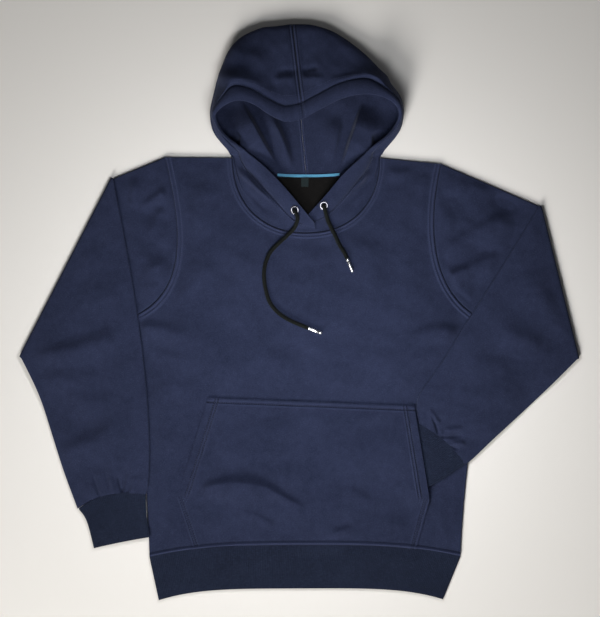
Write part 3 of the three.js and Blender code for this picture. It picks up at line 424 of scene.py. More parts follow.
# Creases, listed one by one. Each is a crest, or a furrow where its rise is below 0, along a bend.
# It falls off within "left" of its run on one side and within "right" on the other.
creases = {
    "front": [
        {"path": [(-250, -24), (-214, -16), (-160, -44)], "rise": 3.2, "left": 9, "right": 16},
        {"path": [(-232, -66), (-190, -60), (-140, -86)], "rise": 1.6, "left": 8, "right": 20},
        {"path": [(-228, -110), (-190, -104), (-150, -124)], "rise": 1.3, "left": 8, "right": 22},
        {"path": [(-222, -190), (-200, -184), (-168, -200)], "rise": 1.2, "left": 9, "right": 24},
        {"path": [(244, -34), (205, -16), (150, -48)], "rise": 3.0, "left": 16, "right": 9},
        {"path": [(220, -62), (190, -60), (160, -84)], "rise": 1.4, "left": 16, "right": 8},
        {"path": [(-192, 22), (-150, 42), (-128, 84)], "rise": 2.4, "left": 34, "right": 14},
        {"path": [(-150, 196), (-140, 160), (-150, 110)], "rise": 1.8, "left": 26, "right": 14},
        {"path": [(-88, 100), (-72, 40), (-88, -30)], "rise": 2.2, "left": 34, "right": 22},
        {"path": [(-120, -84), (-60, -66), (10, -78)], "rise": 1.5, "left": 16, "right": 22},
        {"path": [(0, 66), (30, 20), (20, -40)], "rise": 1.8, "left": 34, "right": 26},
        {"path": [(96, 120), (112, 60), (96, -10)], "rise": 2.2, "left": 24, "right": 36},
        {"path": [(60, -66), (110, -58), (156, -82)], "rise": 1.5, "left": 14, "right": 22},
        {"path": [(150, 200), (160, 160), (150, 112)], "rise": 1.8, "left": 14, "right": 26},
        {"path": [(180, 214), (150, 216), (120, 196)], "rise": 1.5, "left": 12, "right": 9},
        {"path": [(214, -262), (206, -300), (216, -340)], "rise": 1.4, "left": 10, "right": 7},
        {"path": [(-208, -300), (-190, -316), (-178, -344)], "rise": 1.0, "left": 10, "right": 9},
    ],
    "pocket": [
        {"path": [(-158, -272), (-118, -248), (-58, -246), (-14, -286)], "rise": 4.6, "left": 7,
         "right": 34},
        {"path": [(-50, -262), (-20, -280), (8, -294)], "rise": 2.4, "left": 5, "right": 12},
        {"path": [(-96, -298), (-66, -300), (-34, -326)], "rise": 1.6, "left": 6, "right": 14},
        {"path": [(30, -352), (44, -334), (84, -322)], "rise": 3.6, "left": 6, "right": 16},
        {"path": [(20, -300), (24, -324), (22, -346)], "rise": -1.8, "left": 6, "right": 5},
        {"path": [(22, -160), (26, -220), (24, -290)], "rise": -1.4, "left": 24, "right": 14},
        {"path": [(-44, -158), (-52, -196), (-44, -230)], "rise": 1.8, "left": 26, "right": 22},
        {"path": [(84, -180), (92, -236), (78, -296)], "rise": 2.2, "left": 26, "right": 24},
        {"path": [(138, -206), (150, -236), (148, -262)], "rise": -1.7, "left": 9, "right": 12},
        {"path": [(104, -350), (118, -336), (146, -338)], "rise": 2.2, "left": 6, "right": 14},
        {"path": [(-112, -168), (-104, -196), (-116, -220)], "rise": 1.4, "left": 20, "right": 16},
        {"path": [(60, -262), (88, -270), (120, -296)], "rise": 1.2, "left": 8, "right": 18},
    ],
    "sleeve_right": {
        "upper": [
            {"path": [(-198, 184), (-211, 174), (-240, 154)], "rise": 2.6, "left": 9, "right": 7},
            {"path": [(-204, 156), (-216, 142), (-222, 104)], "rise": 2.2, "left": 8, "right": 10},
            {"path": [(-250, 206), (-244, 182), (-252, 152)], "rise": 2.0, "left": 8, "right": 7},
            {"path": [(-196, 84), (-212, 66), (-232, 62)], "rise": 1.8, "left": 9, "right": 9},
            {"path": [(-206, 52), (-222, 42), (-240, 44)], "rise": -1.3, "left": 5, "right": 5},
        ],
        "lower": [
            {"path": [(-410, -70), (-352, -58), (-310, -50), (-252, -22)], "rise": 3.9, "left": 9,
             "right": 24},
            {"path": [(-396, -102), (-340, -96), (-290, -100)], "rise": 2.2, "left": 11, "right": 22},
            {"path": [(-372, -214), (-320, -200), (-262, -168)], "rise": 2.8, "left": 10, "right": 24},
            {"path": [(-330, 40), (-300, 22), (-262, 28)], "rise": 2.0, "left": 24, "right": 26},
            {"path": [(-350, -140), (-300, -128), (-244, -136)], "rise": 1.8, "left": 12, "right": 20},
            {"path": [(-310, -240), (-306, -256), (-297, -284)], "rise": -2.7, "left": 2.4, "right": 2.4},
            {"path": [(-292, -230), (-288, -250), (-286, -266)], "rise": -1.5, "left": 2.6, "right": 2.6},
            {"path": [(-273, -244), (-270, -256), (-265, -274)], "rise": -2.8, "left": 2.2, "right": 2.2},
            {"path": [(-258, -230), (-262, -252), (-268, -276)], "rise": -2.4, "left": 2.4, "right": 2.4},
            {"path": [(-252, -258), (-256, -266), (-260, -274)], "rise": -1.6, "left": 2.2, "right": 2.2},
            {"path": [(-283, -244), (-280, -258), (-276, -276)], "rise": 1.2, "left": 4, "right": 4},
            {"path": [(-246, -244), (-248, -258), (-250, -272)], "rise": 1.2, "left": 5, "right": 5},
        ],
    },
    "sleeve_left": {
        "upper": [
            {"path": [(208, 84), (238, 104), (282, 136), (338, 152)], "rise": 3.4, "left": 9, "right": 24},
            {"path": [(212, 42), (250, 66), (312, 92)], "rise": 3.0, "left": 8, "right": 16},
            {"path": [(220, 54), (236, 58), (256, 70)], "rise": 2.0, "left": 5, "right": 6},
            {"path": [(222, 38), (242, 28), (262, 6)], "rise": -1.7, "left": 5, "right": 5},
            {"path": [(222, 196), (262, 190), (306, 172)], "rise": 1.8, "left": 18, "right": 18},
        ],
        "lower": [
            {"path": [(290, -34), (330, -34), (372, -56)], "rise": 2.2, "left": 12, "right": 24},
            {"path": [(236, -62), (276, -84), (324, -84)], "rise": 1.8, "left": 12, "right": 22},
            {"path": [(330, 66), (350, 30), (392, 6)], "rise": 1.8, "left": 18, "right": 24},
            {"path": [(226, -110), (262, -130), (300, -128)], "rise": 1.5, "left": 10, "right": 18},
            {"path": [(196, -150), (204, -164), (208, -186)], "rise": -2.8, "left": 2.4, "right": 2.4},
            {"path": [(192, -140), (200, -160), (213, -168)], "rise": 1.6, "left": 4, "right": 4},
            {"path": [(206, -186), (224, -188), (248, -184)], "rise": -2.7, "left": 2.6, "right": 2.6},
            {"path": [(214, -176), (230, -178), (248, -172)], "rise": 1.8, "left": 4, "right": 4},
            {"path": [(222, -200), (232, -206), (240, -203)], "rise": -2.2, "left": 2.4, "right": 2.4},
            {"path": [(226, -196), (238, -197), (250, -196)], "rise": 1.6, "left": 4, "right": 4},
        ],
    },
    "hood_right": {
        "upper": [
            {"path": [(-134, 352), (-92, 350), (-62, 334), (-34, 300)], "rise": 3.6, "left": 16,
             "right": 12},
            {"path": [(-110, 396), (-80, 380), (-40, 376)], "rise": 2.4, "left": 14, "right": 20},
            {"path": [(-36, 358), (-16, 362), (2, 361)], "rise": -2.6, "left": 5, "right": 5},
            {"path": [(-44, 346), (-20, 350), (-4, 349)], "rise": 1.6, "left": 5, "right": 9},
            {"path": [(-102, 221), (-76, 201), (-50, 180), (-20, 148)], "rise": 4.2, "left": 7, "right": 7},
            {"path": [(-88, 191), (-66, 167), (-44, 147)], "rise": -2.0, "left": 5, "right": 5},
        ],
        "inside": [
            {"path": [(-92, 322), (-62, 266), (-44, 236), (-22, 196)], "rise": 12, "left": 4, "right": 60},
            {"path": [(-42, 296), (-28, 264), (-16, 240), (-12, 214)], "rise": 6, "left": 5, "right": 6},
        ],
    },
    "hood_left": {
        "upper": [
            {"path": [(30, 366), (16, 363), (-2, 361)], "rise": -2.6, "left": 5, "right": 5},
            {"path": [(40, 348), (16, 350), (0, 349)], "rise": 1.6, "left": 9, "right": 5},
            {"path": [(24, 316), (64, 340), (112, 352), (146, 344)], "rise": 3.0, "left": 14, "right": 12},
            {"path": [(108, 215), (80, 189), (54, 163)], "rise": 3.4, "left": 6, "right": 6},
            {"path": [(112, 206), (93, 182), (60, 153)], "rise": -2.2, "left": 5, "right": 5},
        ],
        "inside": [
            {"path": [(60, 200), (69, 235), (80, 264), (98, 318)], "rise": 12, "left": 4, "right": 60},
            {"path": [(62, 296), (54, 252), (44, 216)], "rise": 4, "left": 5, "right": 24},
        ],
    },
    "hem_band": [
        {"path": [(-30, -362), (20, -370), (80, -362)], "rise": -1.2, "left": 5, "right": 6},
        {"path": [(-120, -372), (-90, -380), (-60, -384)], "rise": 0.8, "left": 10, "right": 10},
        {"path": [(120, -368), (150, -376), (190, -372)], "rise": 0.8, "left": 9, "right": 9},
    ],
}
creaseStrength = {"rise": 1.7, "furrow": 1.0, "reach": 0.85}
waves = {"size": 58, "rise": 0.8, "fineSize": 21, "fineRise": 0.16, "count": 9}

# Cross-sections of the doubled seams, from the seam line onto the panel: how far, how high, how wide
seams = {
    "armhole": [(0, -1.1, 1.0), (3, 1.1, 1.6), (8.3, 1.0, 1.7)],
    "neckline": [(0, -1.0, 0.9), (2.6, 1.2, 1.4), (7, 0.9, 1.5)],
    "hem": [(0, -0.9, 0.9), (3.2, 1.7, 1.9), (6.6, -0.5, 0.9)],
    "pocketTop": [(2.4, 0.5, 1.8), (6.2, -0.9, 0.8), (8.2, 0.5, 1.2)],
    "opening": [(11, -0.9, 0.8), (13.2, 0.6, 1.1), (15.6, -0.9, 0.8), (17.4, 0.5, 1.2)],
    "pocketLow": [(2, 0.5, 1.4), (4.2, -0.7, 0.8), (8, -0.7, 0.8), (9.8, 0.4, 1.2)],
    "crown": [(0, -1.0, 0.9), (2.4, 1.0, 1.2), (4.6, -0.7, 0.8)],
}


def signedGap(line, points):
    # Gap to a line, how far along it, and whether the point is to the left of its run
    gap, along = gapTo(line, points)
    at = np.minimum((along * (len(line) - 1)).astype(int), len(line) - 2)
    run = line[at + 1] - line[at]
    reach = points[:, :2] - line[at]
    return gap, along, run[:, 0] * reach[:, 1] - run[:, 1] * reach[:, 0] > 0


def creaseRise(marks, points):
    total = np.zeros(len(points))
    for mark in marks:
        gap, along, onLeft = signedGap(bezier(mark["path"], np.linspace(0, 1, 13)), points)
        taper = smoothstep(along, 0, 0.3) * smoothstep(1 - along, 0, 0.3)
        reach = np.where(onLeft, mark["left"], mark["right"]) * creaseStrength["reach"]
        strength = creaseStrength["rise" if mark["rise"] > 0 else "furrow"]
        total += strength * mark["rise"] * np.exp(-((gap / reach) ** 2)) * taper
    return total


def seamRelief(name, gap):
    return sum(rise * np.exp(-(((gap - at) / width) ** 2)) for at, rise, width in seams[name])


def softWaves(points, seed):
    # A sum of long and short ripples in chance directions
    chance = np.random.default_rng(seed)
    total = np.zeros(len(points))
    for size, rise in ((waves["size"], waves["rise"]), (waves["fineSize"], waves["fineRise"])):
        for _ in range(waves["count"]):
            turn, phase = chance.uniform(0, 2 * np.pi, 2)
            length = size * chance.uniform(0.7, 1.6)
            run = points[:, 0] * np.cos(turn) + points[:, 1] * np.sin(turn)
            total += rise / math.sqrt(waves["count"]) * 1.4 * np.sin(2 * np.pi * run / length + phase)
    return total


# Walls: two matching grids of points, closed into one shell
def makeWall(name, outer, inner, lift, layer, ring=False):
    rows, columns = outer.shape[:2]
    points = np.concatenate([outer.reshape(-1, 3), inner.reshape(-1, 3)])

    def at(face, i, j):
        return face * rows * columns + i * columns + j % columns

    faces = []
    lastColumn = columns if ring else columns - 1
    for i in range(rows - 1):
        for j in range(lastColumn):
            faces.append((at(0, i, j), at(0, i, j + 1), at(0, i + 1, j + 1), at(0, i + 1, j)))
            faces.append((at(1, i, j), at(1, i + 1, j), at(1, i + 1, j + 1), at(1, i, j + 1)))
    for j in range(lastColumn):
        faces.append((at(0, 0, j), at(1, 0, j), at(1, 0, j + 1), at(0, 0, j + 1)))
        faces.append((at(0, rows - 1, j), at(0, rows - 1, j + 1), at(1, rows - 1, j + 1),
                      at(1, rows - 1, j)))
    if not ring:
        end = columns - 1
        for i in range(rows - 1):
            faces.append((at(0, i, 0), at(0, i + 1, 0), at(1, i + 1, 0), at(1, i, 0)))
            faces.append((at(0, i, end), at(1, i, end), at(1, i + 1, end), at(0, i + 1, end)))
    mesh = bpy.data.meshes.new(name)
    mesh.from_pydata((points * mm).tolist(), [], faces)
    for key, values, kind in (("lift", lift, "FLOAT_VECTOR"), ("layer", layer, "FLOAT")):
        both = np.concatenate([values, values]).reshape(-1)
        field = mesh.attributes.new(key, kind, "POINT")
        field.data.foreach_set("vector" if kind == "FLOAT_VECTOR" else "value", both.astype(np.float32))
    wall = bmesh.new()
    wall.from_mesh(mesh)
    if wall.calc_volume(signed=True) < 0:
        bmesh.ops.reverse_faces(wall, faces=wall.faces)
    crease = wall.edges.layers.float.new("crease_edge")
    for edge in wall.edges:
        if edge.calc_face_angle(0) > math.radians(50):
            edge[crease] = 0.9
    wall.to_mesh(mesh)
    wall.free()
    return mesh


def linked(name, mesh):
    made = bpy.data.objects.new(name, mesh)
    bpy.context.collection.objects.link(made)
    return made


def plainMesh(source):
    # The object's mesh with its modifiers applied
    bpy.context.view_layer.update()
    seen = source.evaluated_get(bpy.context.evaluated_depsgraph_get())
    mesh = bpy.data.meshes.new_from_object(seen)
    mesh.name = source.name
    return mesh


def finer(name, mesh, levels):
    made = linked(name, mesh)
    smooth = made.modifiers.new("finer", "SUBSURF")
    smooth.levels = smooth.render_levels = levels
    fine = plainMesh(made)
    made.modifiers.clear()
    made.data = fine
    return made


def readField(mesh, name, width):
    field = mesh.attributes[name]
    values = np.zeros(len(mesh.vertices) * width, np.float32)
    field.data.foreach_get("vector" if width == 3 else "value", values)
    return values.reshape(-1, width).astype(float)


def readPoints(mesh):
    values = np.zeros(len(mesh.vertices) * 3)
    mesh.vertices.foreach_get("co", values)
    return values.reshape(-1, 3) / mm


def moveCloth(made, rise, relief=None):
    # Moves the cloth along its lift by rise(points, layer), both faces of the wall alike.
    # The relief of its seams is also painted into the colour: painted highlight on ridges, painted shade in
    # furrows.
    mesh = made.data
    points = readPoints(mesh)
    layer = readField(mesh, "layer", 1)[:, 0]
    seam = relief(points, layer) if relief else np.zeros(len(points))
    moved = points + readField(mesh, "lift", 3) * (rise(points, layer) + seam)[:, None]
    moved[:, 2] = np.maximum(moved[:, 2], np.minimum(points[:, 2], 0.02))
    mesh.vertices.foreach_set("co", (moved * mm).reshape(-1))
    mesh.attributes.remove(mesh.attributes["lift"])
    mesh.attributes.remove(mesh.attributes["layer"])
    # The seams' relief, kept so the material can paint highlight on ridges and shade in furrows
    paintedSeamLight = mesh.attributes.new("paintedSeamLight", "FLOAT", "POINT")
    paintedSeamLight.data.foreach_set("value", seam.astype(np.float32))
    mesh.shade_smooth()
    mesh.set_sharp_from_angle(angle=math.radians(60))
    mesh.update()


def gridOf(columns, rows):
    u, v = np.meshgrid(np.array(columns, float), np.array(rows, float))
    return u, v


def denseEdge(ends, middle):
    # Shares across a panel, close together near both edges
    return np.array([*ends, *middle, *(1 - np.array(ends[::-1]))])


print("stage: body panels")
panelGrid = {
    "edge": [0, 0.002, 0.005, 0.009, 0.013, 0.018, 0.024, 0.032, 0.045],
    "rightColumns": [0.065, 0.09, 0.12, 0.145, 0.16, 0.17, 0.177, 0.182, 0.185, 0.187, 0.189, 0.192,
                     0.196, 0.202, 0.212,
                     0.228, 0.25, 0.275, 0.302, 0.33, 0.36, 0.39, 0.42, 0.45, 0.48],
    "leftColumns": [0.065, 0.09, 0.115, 0.135, 0.148, 0.157, 0.163, 0.167, 0.17, 0.172, 0.174, 0.177,
                    0.181, 0.187, 0.197,
                    0.213, 0.235, 0.26, 0.287, 0.315, 0.345, 0.375, 0.405, 0.435, 0.465, 0.492],
    "rows": [0, 0.003, 0.007, 0.011, 0.016, 0.022, 0.04, 0.075, 0.12, 0.165, 0.21, 0.255, 0.3, 0.345,
             0.39, 0.43, 0.465,
             0.5, 0.535, 0.57, 0.605, 0.64, 0.675, 0.71, 0.745, 0.78, 0.815, 0.85, 0.88, 0.905, 0.928,
             0.948, 0.962,
             0.972, 0.979, 0.984, 0.988, 0.992, 0.996, 1],
    "backColumns": [0, 0.03, 0.1, 0.187, 0.25, 0.32, 0.4, 0.5, 0.6, 0.68, 0.75, 0.828, 0.9, 0.97, 1],
    "backRows": [0, 0.03, 0.12, 0.25, 0.4, 0.5, 0.575, 0.68, 0.78, 0.88, 0.96, 1],
}
# The chest lies higher than the panel's edges, over the cloth folded inside
bodyRise = {"most": 3.2, "from": 8, "to": 110}


def bodyPlan(depth, columns, rows):
    u, v = gridOf(columns, rows)
    plan = patchPlan(bodyPatch(depth), u, v)
    towards = unit(np.array([0, -120.0]) - plan)
    onEdge = (u == 0) | (u == 1) | (v == 0) | (v == 1)
    return plan + towards * (cloth["seamGap"] * onEdge)[..., None]


def flatWall(name, plan, upper, lower, hold):
    flat = plan.reshape(-1, 2)
    grid = [np.concatenate([flat, np.broadcast_to(z, len(flat))[:, None]], 1).reshape(*plan.shape[:2], 3)
            for z in (upper, lower)]
    lift = np.zeros((*plan.shape[:2], 3))
    lift[..., 2] = hold
    return makeWall(name, *grid, lift, np.zeros(plan.shape[:2]))


def dressFront():
    right = np.array(panelGrid["rightColumns"])
    left = 1 - np.array(panelGrid["leftColumns"][::-1])
    columns = denseEdge(panelGrid["edge"], [*right, *left])
    plan = bodyPlan(neck["frontDepth"], columns, panelGrid["rows"])
    top = pressedFleece + frontRise(plan.reshape(-1, 2))
    made = finer("front_panel_cloth", flatWall("front_panel_cloth", plan, top, top - cloth["fleece"], 1), 2)
    neckLine = neckPoint(np.linspace(0, 1, 90), neck["frontDepth"])
    hemLine = archPoint(hem["seam"], np.linspace(0, 1, 60))

    def rise(points, layer):
        free = smoothstep(-depthInside(pocketOutline, points), 3, 40)
        for side in ("right", "left"):
            free = free * (1 - smoothstep(depthInside(lowerOutlines[side], points), -10, 14))
        depth = depthInside(frontOutline, points)
        chest = bodyRise["most"] * smoothstep(depth, bodyRise["from"], bodyRise["to"])
        return ((creaseRise(creases["front"], points) + softWaves(points, 3) + chest)
                * free * smoothstep(depth, 4, 26))

    def relief(points, layer):
        total = (seamRelief("neckline", gapTo(neckLine, points)[0])
                 + seamRelief("hem", gapTo(hemLine, points)[0]))
        for side in ("right", "left"):
            covered = smoothstep(depthInside(lowerOutlines[side], points), -3, 3)
            total += seamRelief("armhole", gapTo(armholes[side][0][::5], points)[0]) * (1 - covered)
        return total

    moveCloth(made, rise, relief)
    return made


def dressBack():
    plan = bodyPlan(neck["backDepth"], panelGrid["backColumns"], panelGrid["backRows"])
    made = finer("back_panel_cloth", flatWall("back_panel_cloth", plan, cloth["fleece"], 0.0, 0), 2)
    moveCloth(made, lambda points, layer: np.zeros(len(points)))
    return made


frontPiece = dressFront()
backPiece = dressBack()

print("stage: sleeves")
sleeveGrid = {
    "columns": [0, 0.04, 0.1, 0.16, 0.21, 0.26, 0.3, 0.335, 0.37, 0.415, 0.46, 0.51, 0.56, 0.62, 0.68,
                0.74, 0.8, 0.87, 0.94, 1],
    "upper": [0, 0.03, 0.08, 0.17, 0.28, 0.4, 0.52, 0.64, 0.76, 0.88, 0.96, 1],
    "bend": [30, 60, 90, 120, 150],
    "lower": [0, 0.03, 0.08, 0.13, 0.19, 0.26, 0.33, 0.4, 0.47, 0.54, 0.61, 0.68, 0.74, 0.79, 0.83, 0.87,
              0.9, 0.93, 0.96, 0.985, 1],
}
edgeTurns = np.radians([45, 90, 135])


def pressedRing(width, wall, inset, columns):
    height = 2 * wall + cloth["seamGap"]
    half = height / 2
    radius = half - inset
    run = half + np.array(columns) * (width - height)
    far, near = width - half + radius * np.sin(edgeTurns), half - radius * np.sin(edgeTurns)
    flat = np.full(len(run), inset)
    heights = [flat, half - radius * np.cos(edgeTurns), height - flat, half + radius * np.cos(edgeTurns)]
    return np.concatenate([run, far, run[::-1], near]), np.concatenate(heights)


def pressedTube(name, rows, wall, columns):
    # Each row: its width, a function that places shares and heights, which sheet shows, and its layer
    grids = {0: [], wall: []}
    lifts, layers = [], []
    for width, place, topShows, layer in rows:
        for inset in (0, wall):
            distance, height = pressedRing(width, wall, inset, columns)
            grids[inset].append(place(distance / width, height))
        distance, height = pressedRing(width, wall, 0, columns)
        share = distance / width
        shows = (height > wall) if topShows else (height < wall + cloth["seamGap"])
        hold = shows * smoothstep(share, 0, 0.07) * smoothstep(1 - share, 0, 0.07) * (topShows is not None)
        lifts.append(np.stack([np.zeros(len(share)), np.zeros(len(share)), hold], -1))
        layers.append(np.full(len(share), float(layer)))
    return makeWall(name, np.array(grids[0]), np.array(grids[wall]), np.array(lifts), np.array(layers),
                    ring=True)


def rowPoint(row, share, outward):
    start, end, bow = row[:2], row[2:4], row[4]
    run = end - start
    side = outward * bow * 4 * share * (1 - share) / np.linalg.norm(run)
    return start + share[:, None] * run + side[:, None] * np.array([-run[1], run[0]])


def rowWidth(row):
    return np.linalg.norm(row[2:4] - row[:2])


def acrossSwell(share):
    return np.sin(np.pi * np.clip(share, 0, 1)) ** 0.7


def stacked(plan, z):
    return np.concatenate([plan, np.asarray(z)[:, None]], 1)


def sleeveRows(name):
    facts = sleeves[name]
    rows, outward = np.array(facts["rows"], float), facts["outward"]
    fold = rows[0]
    away = outward * unit(np.array([fold[1] - fold[3], fold[2] - fold[0]]))
    armholeLength = np.linalg.norm(np.diff(armholes[name][0], axis=0), axis=1).sum()

    def upperRow(along):
        def place(share, height):
            start = onLine(armholes[name], 1 - share)
            target = rowPoint(fold, share, outward)
            start = start - unit(target - start) * cloth["seamGap"]
            plan = mix(start, target, along)
            covered = smoothstep(depthInside(lowerOutlines[name], plan), -75, -35)
            swell = sleeves["upperSwell"] * acrossSwell(share) * math.sin(math.pi * along) * (1 - covered)
            return stacked(plan, height + np.where(height > pressedFleece / 2, swell, 0))
        return armholeLength + (rowWidth(fold) - armholeLength) * along, place, True, 0

    def bendRow(turn):
        def place(share, height):
            radius = foldCentre - height
            plan = rowPoint(fold, share, outward) + away * (radius * math.sin(turn))[:, None]
            return stacked(plan, foldCentre - radius * math.cos(turn))
        return rowWidth(fold), place, None, 1

    def lowerRow(along):
        row = easedRow(rows, along * (len(rows) - 1))

        def place(share, height):
            plan = rowPoint(row, share, outward)
            nearCuff = smoothstep(along, 1 - sleeves["pleatReach"], 0.97)
            deep = [d * np.exp(-(((share - at) / sleeves["pleatWidth"]) ** 2)) for at, d in facts["pleats"]]
            calm = smoothstep(along, 0, 0.12) * (1 - 0.25 * smoothstep(along, 0.9, 1))
            rise = sleeves["lowerSwell"] * acrossSwell(share) * calm * (1 - np.max(deep, axis=0) * nearCuff)
            rise = np.where(height < pressedFleece / 2, rise, 0)
            return stacked(plan, layersBelow(name, plan) + pressedFleece - height + rise)
        return rowWidth(row), place, False, 1

    return [*map(upperRow, sleeveGrid["upper"]), *map(bendRow, np.radians(sleeveGrid["bend"])),
            *map(lowerRow, sleeveGrid["lower"])]


def dressSleeve(name):
    title = f"sleeve_{name}_cloth"
    made = finer(title, pressedTube(title, sleeveRows(name), cloth["fleece"], sleeveGrid["columns"]), 2)
    marks = creases[f"sleeve_{name}"]
    seam = armholes[name][0][::5]

    def rise(points, layer):
        fold = np.array([sleeves[name]["rows"][0][:2], sleeves[name]["rows"][0][2:4]], float)
        foldGap, _ = gapTo(fold, points)
        seamGap, _ = gapTo(seam, points)
        covered = smoothstep(depthInside(lowerOutlines[name], points), -14, 4)
        upper = (creaseRise(marks["upper"], points) + 1.5 * softWaves(points, 7)) * (1 - covered)
        upper = (upper * smoothstep(seamGap, 1, 14) * smoothstep(foldGap, 2, 16)
                 - sleeves["seamDip"] * np.exp(-((seamGap / sleeves["seamDipWidth"]) ** 2)))
        lower = (creaseRise(marks["lower"], points) + softWaves(points, 11)) * smoothstep(foldGap, 2, 26)
        return np.where(layer < 0.5, upper, lower)

    moveCloth(made, rise)
    return made


sleevePieces = {name: dressSleeve(name) for name in ("right", "left")}

print("stage: pocket")
pocketGrid = {
    "columns": [0.12, 0.155, 0.19, 0.225, 0.26, 0.295, 0.33, 0.365, 0.4, 0.435, 0.47, 0.505, 0.54, 0.575,
                0.61, 0.645, 0.68,
                0.715, 0.75, 0.785, 0.82, 0.85, 0.88],
    "rows": [0, 0.008, 0.018, 0.03, 0.055, 0.09, 0.13, 0.17, 0.21, 0.25, 0.29, 0.32, 0.34, 0.36, 0.4,
             0.44, 0.49, 0.55, 0.61,
             0.67, 0.73, 0.79, 0.85, 0.9, 0.935, 0.955, 0.968, 0.98, 0.99, 1],
    "openingStitches": (11, 15.6), "topStitches": (6.2,), "lowerStitches": (4.2, 8),
}


def dressPocket():
    width = pocket["left"][2][0] - pocket["right"][2][0]
    edge = [distance / width
            for distance in (0, 1.2, 3.5, 6, 8.5, 10.2, 11.5, 13, 14.5, 16, 17.5, 19.5, 23, 29)]
    u, v = gridOf(denseEdge(edge, pocketGrid["columns"]), pocketGrid["rows"])
    plan = patchPlan(pocketPatch, u, v)
    flat = plan.reshape(-1, 2)
    floor = pocketFloor(flat)
    fromSide = np.minimum(u, 1 - u).reshape(-1) * width
    inBand = ((1 - smoothstep(fromSide, pocket["band"] - 0.5, pocket["band"] + 2.5))
              * smoothstep(v.reshape(-1), 0.33, 0.36))
    top = floor + cloth["fleece"] + pocket["bandRise"] * inBand
    made = finer("pocket_cloth", flatWall("pocket_cloth", plan, top, floor, 1), 2)
    corners = {side: np.array(pocket[side], float) for side in ("right", "left")}
    topLine = np.array([pocket["right"][2], pocket["left"][2]], float)
    hemLine = archPoint(hem["seam"], np.linspace(0, 1, 60))

    def rise(points, layer):
        inside = smoothstep(depthInside(pocketOutline, points), 8, 30)
        tucked = 1 - smoothstep(-depthInside(tuckedOutline, points), 0, 14)
        loose = (creaseRise(creases["pocket"], points) + softWaves(points, 5)) * inside
        return np.where(loose < 0, loose * (1 - 0.8 * tucked), loose)

    def relief(points, layer):
        total = (seamRelief("pocketTop", gapTo(topLine, points)[0])
                 + seamRelief("hem", gapTo(hemLine, points)[0]))
        for side in ("right", "left"):
            foot = corners[side][1]
            above = smoothstep(points[:, 1], foot[1] - 2, foot[1] + 6)
            total += seamRelief("opening", gapTo(corners[side][1:], points)[0]) * above
            total += seamRelief("pocketLow", gapTo(corners[side][:2], points)[0]) * (1 - above)
        return total

    moveCloth(made, rise, relief)
    return made


pocketPiece = dressPocket()

print("stage: hood")
hoodGrid = {
    "columns": [0, 0.04, 0.1, 0.18, 0.26, 0.34, 0.41, 0.46, 0.485, 0.5, 0.515, 0.54, 0.58, 0.63, 0.7,
                0.79, 0.89, 1, 1.12, 1.24,
                1.38, 1.55, 1.75, 2, 2.12, 2.25, 2.4, 2.6, 2.8, 3, 3.12, 3.24, 3.36, 3.48, 3.6, 3.72,
                3.82, 3.9, 3.96, 4],
    "frontRows": [0, 0.12, 0.35, 0.7, 1.05, 1.4, 1.75, 2.1, 2.5, 2.9, 3.3, 3.7, 4.1, 4.5, 4.8, 5],
    "sideStep": 0.34, "gatherStep": 0.125,
}
hoodLooks = {"roll": 1.5, "dip": 1.5, "behind": 1.0, "brow": 7.5, "browRow": 13.4, "browReach": 3.2}
hoodTables = {
    side: np.array([[x, y, z, *hood["sides"][side][0][3:12], end] for x, y, z, end in hood["front"][side]]
                   + hood["sides"][side], float)
    for side in ("right", "left")
}
lastFront = len(hood["front"]["right"]) - 1
lastRow = len(hoodTables["right"]) - 1
frontShares = [(0, 0), (1, 0.62), (2, 0.93), (3, 0.975), (4, 1)]


def turnAt(row):
    return math.pi * min(max((row - lastFront) / 2, 0), 1)


def hoodEnd(side, row):
    table = hoodTables[side]
    k = int(math.floor(row))
    share = table[k, 12] + (table[min(k + 1, lastRow), 12] - table[k, 12]) * (row - k)
    isFront = row <= lastFront
    turn = share if side == "right" else 1 - share
    x, y = neckPoint(turn, neck["frontDepth"] if isFront else neck["backDepth"])
    inset = float(smoothstep(share, 0, 0.05))
    gap = cloth["seamGap"]
    if isFront:
        toCentre = unit(np.array([neck["x"] - x, neck["y"] - y]))
        x, y = x + toCentre[0] * gap * inset, y + toCentre[1] * gap * inset
        overlap = hood["overlap"] * float(smoothstep(x, -34, -12)) if side == "right" else 0
        return np.array([x, y + 3 * gap * (1 - inset), pressedFleece + overlap])
    half = pressedFleece / 2
    outward = half * math.sin(turnAt(row)) - gap * inset * (1 - 2 * share)
    return np.array([x + (-outward if side == "right" else outward), y + gap * (3 - inset),
                     half + half * math.cos(turnAt(row))])


def hermite(a, b, fromA, intoB, f):
    return (a * (2 * f ** 3 - 3 * f ** 2 + 1) + fromA * (f ** 3 - 2 * f ** 2 + f)
            + b * (3 * f ** 2 - 2 * f ** 3) + intoB * (f ** 3 - f ** 2))


def gatherRise(row, column):
    strength = (hood["gatherRise"] * max(0, 1 - column)
                * float(smoothstep(row, hood["gatherFrom"], hood["gatherFrom"] + 0.2)))
    return strength * (0.5 - 0.5 * math.cos(2 * math.pi * hood["gathersPerRow"] * (lastRow - row)))


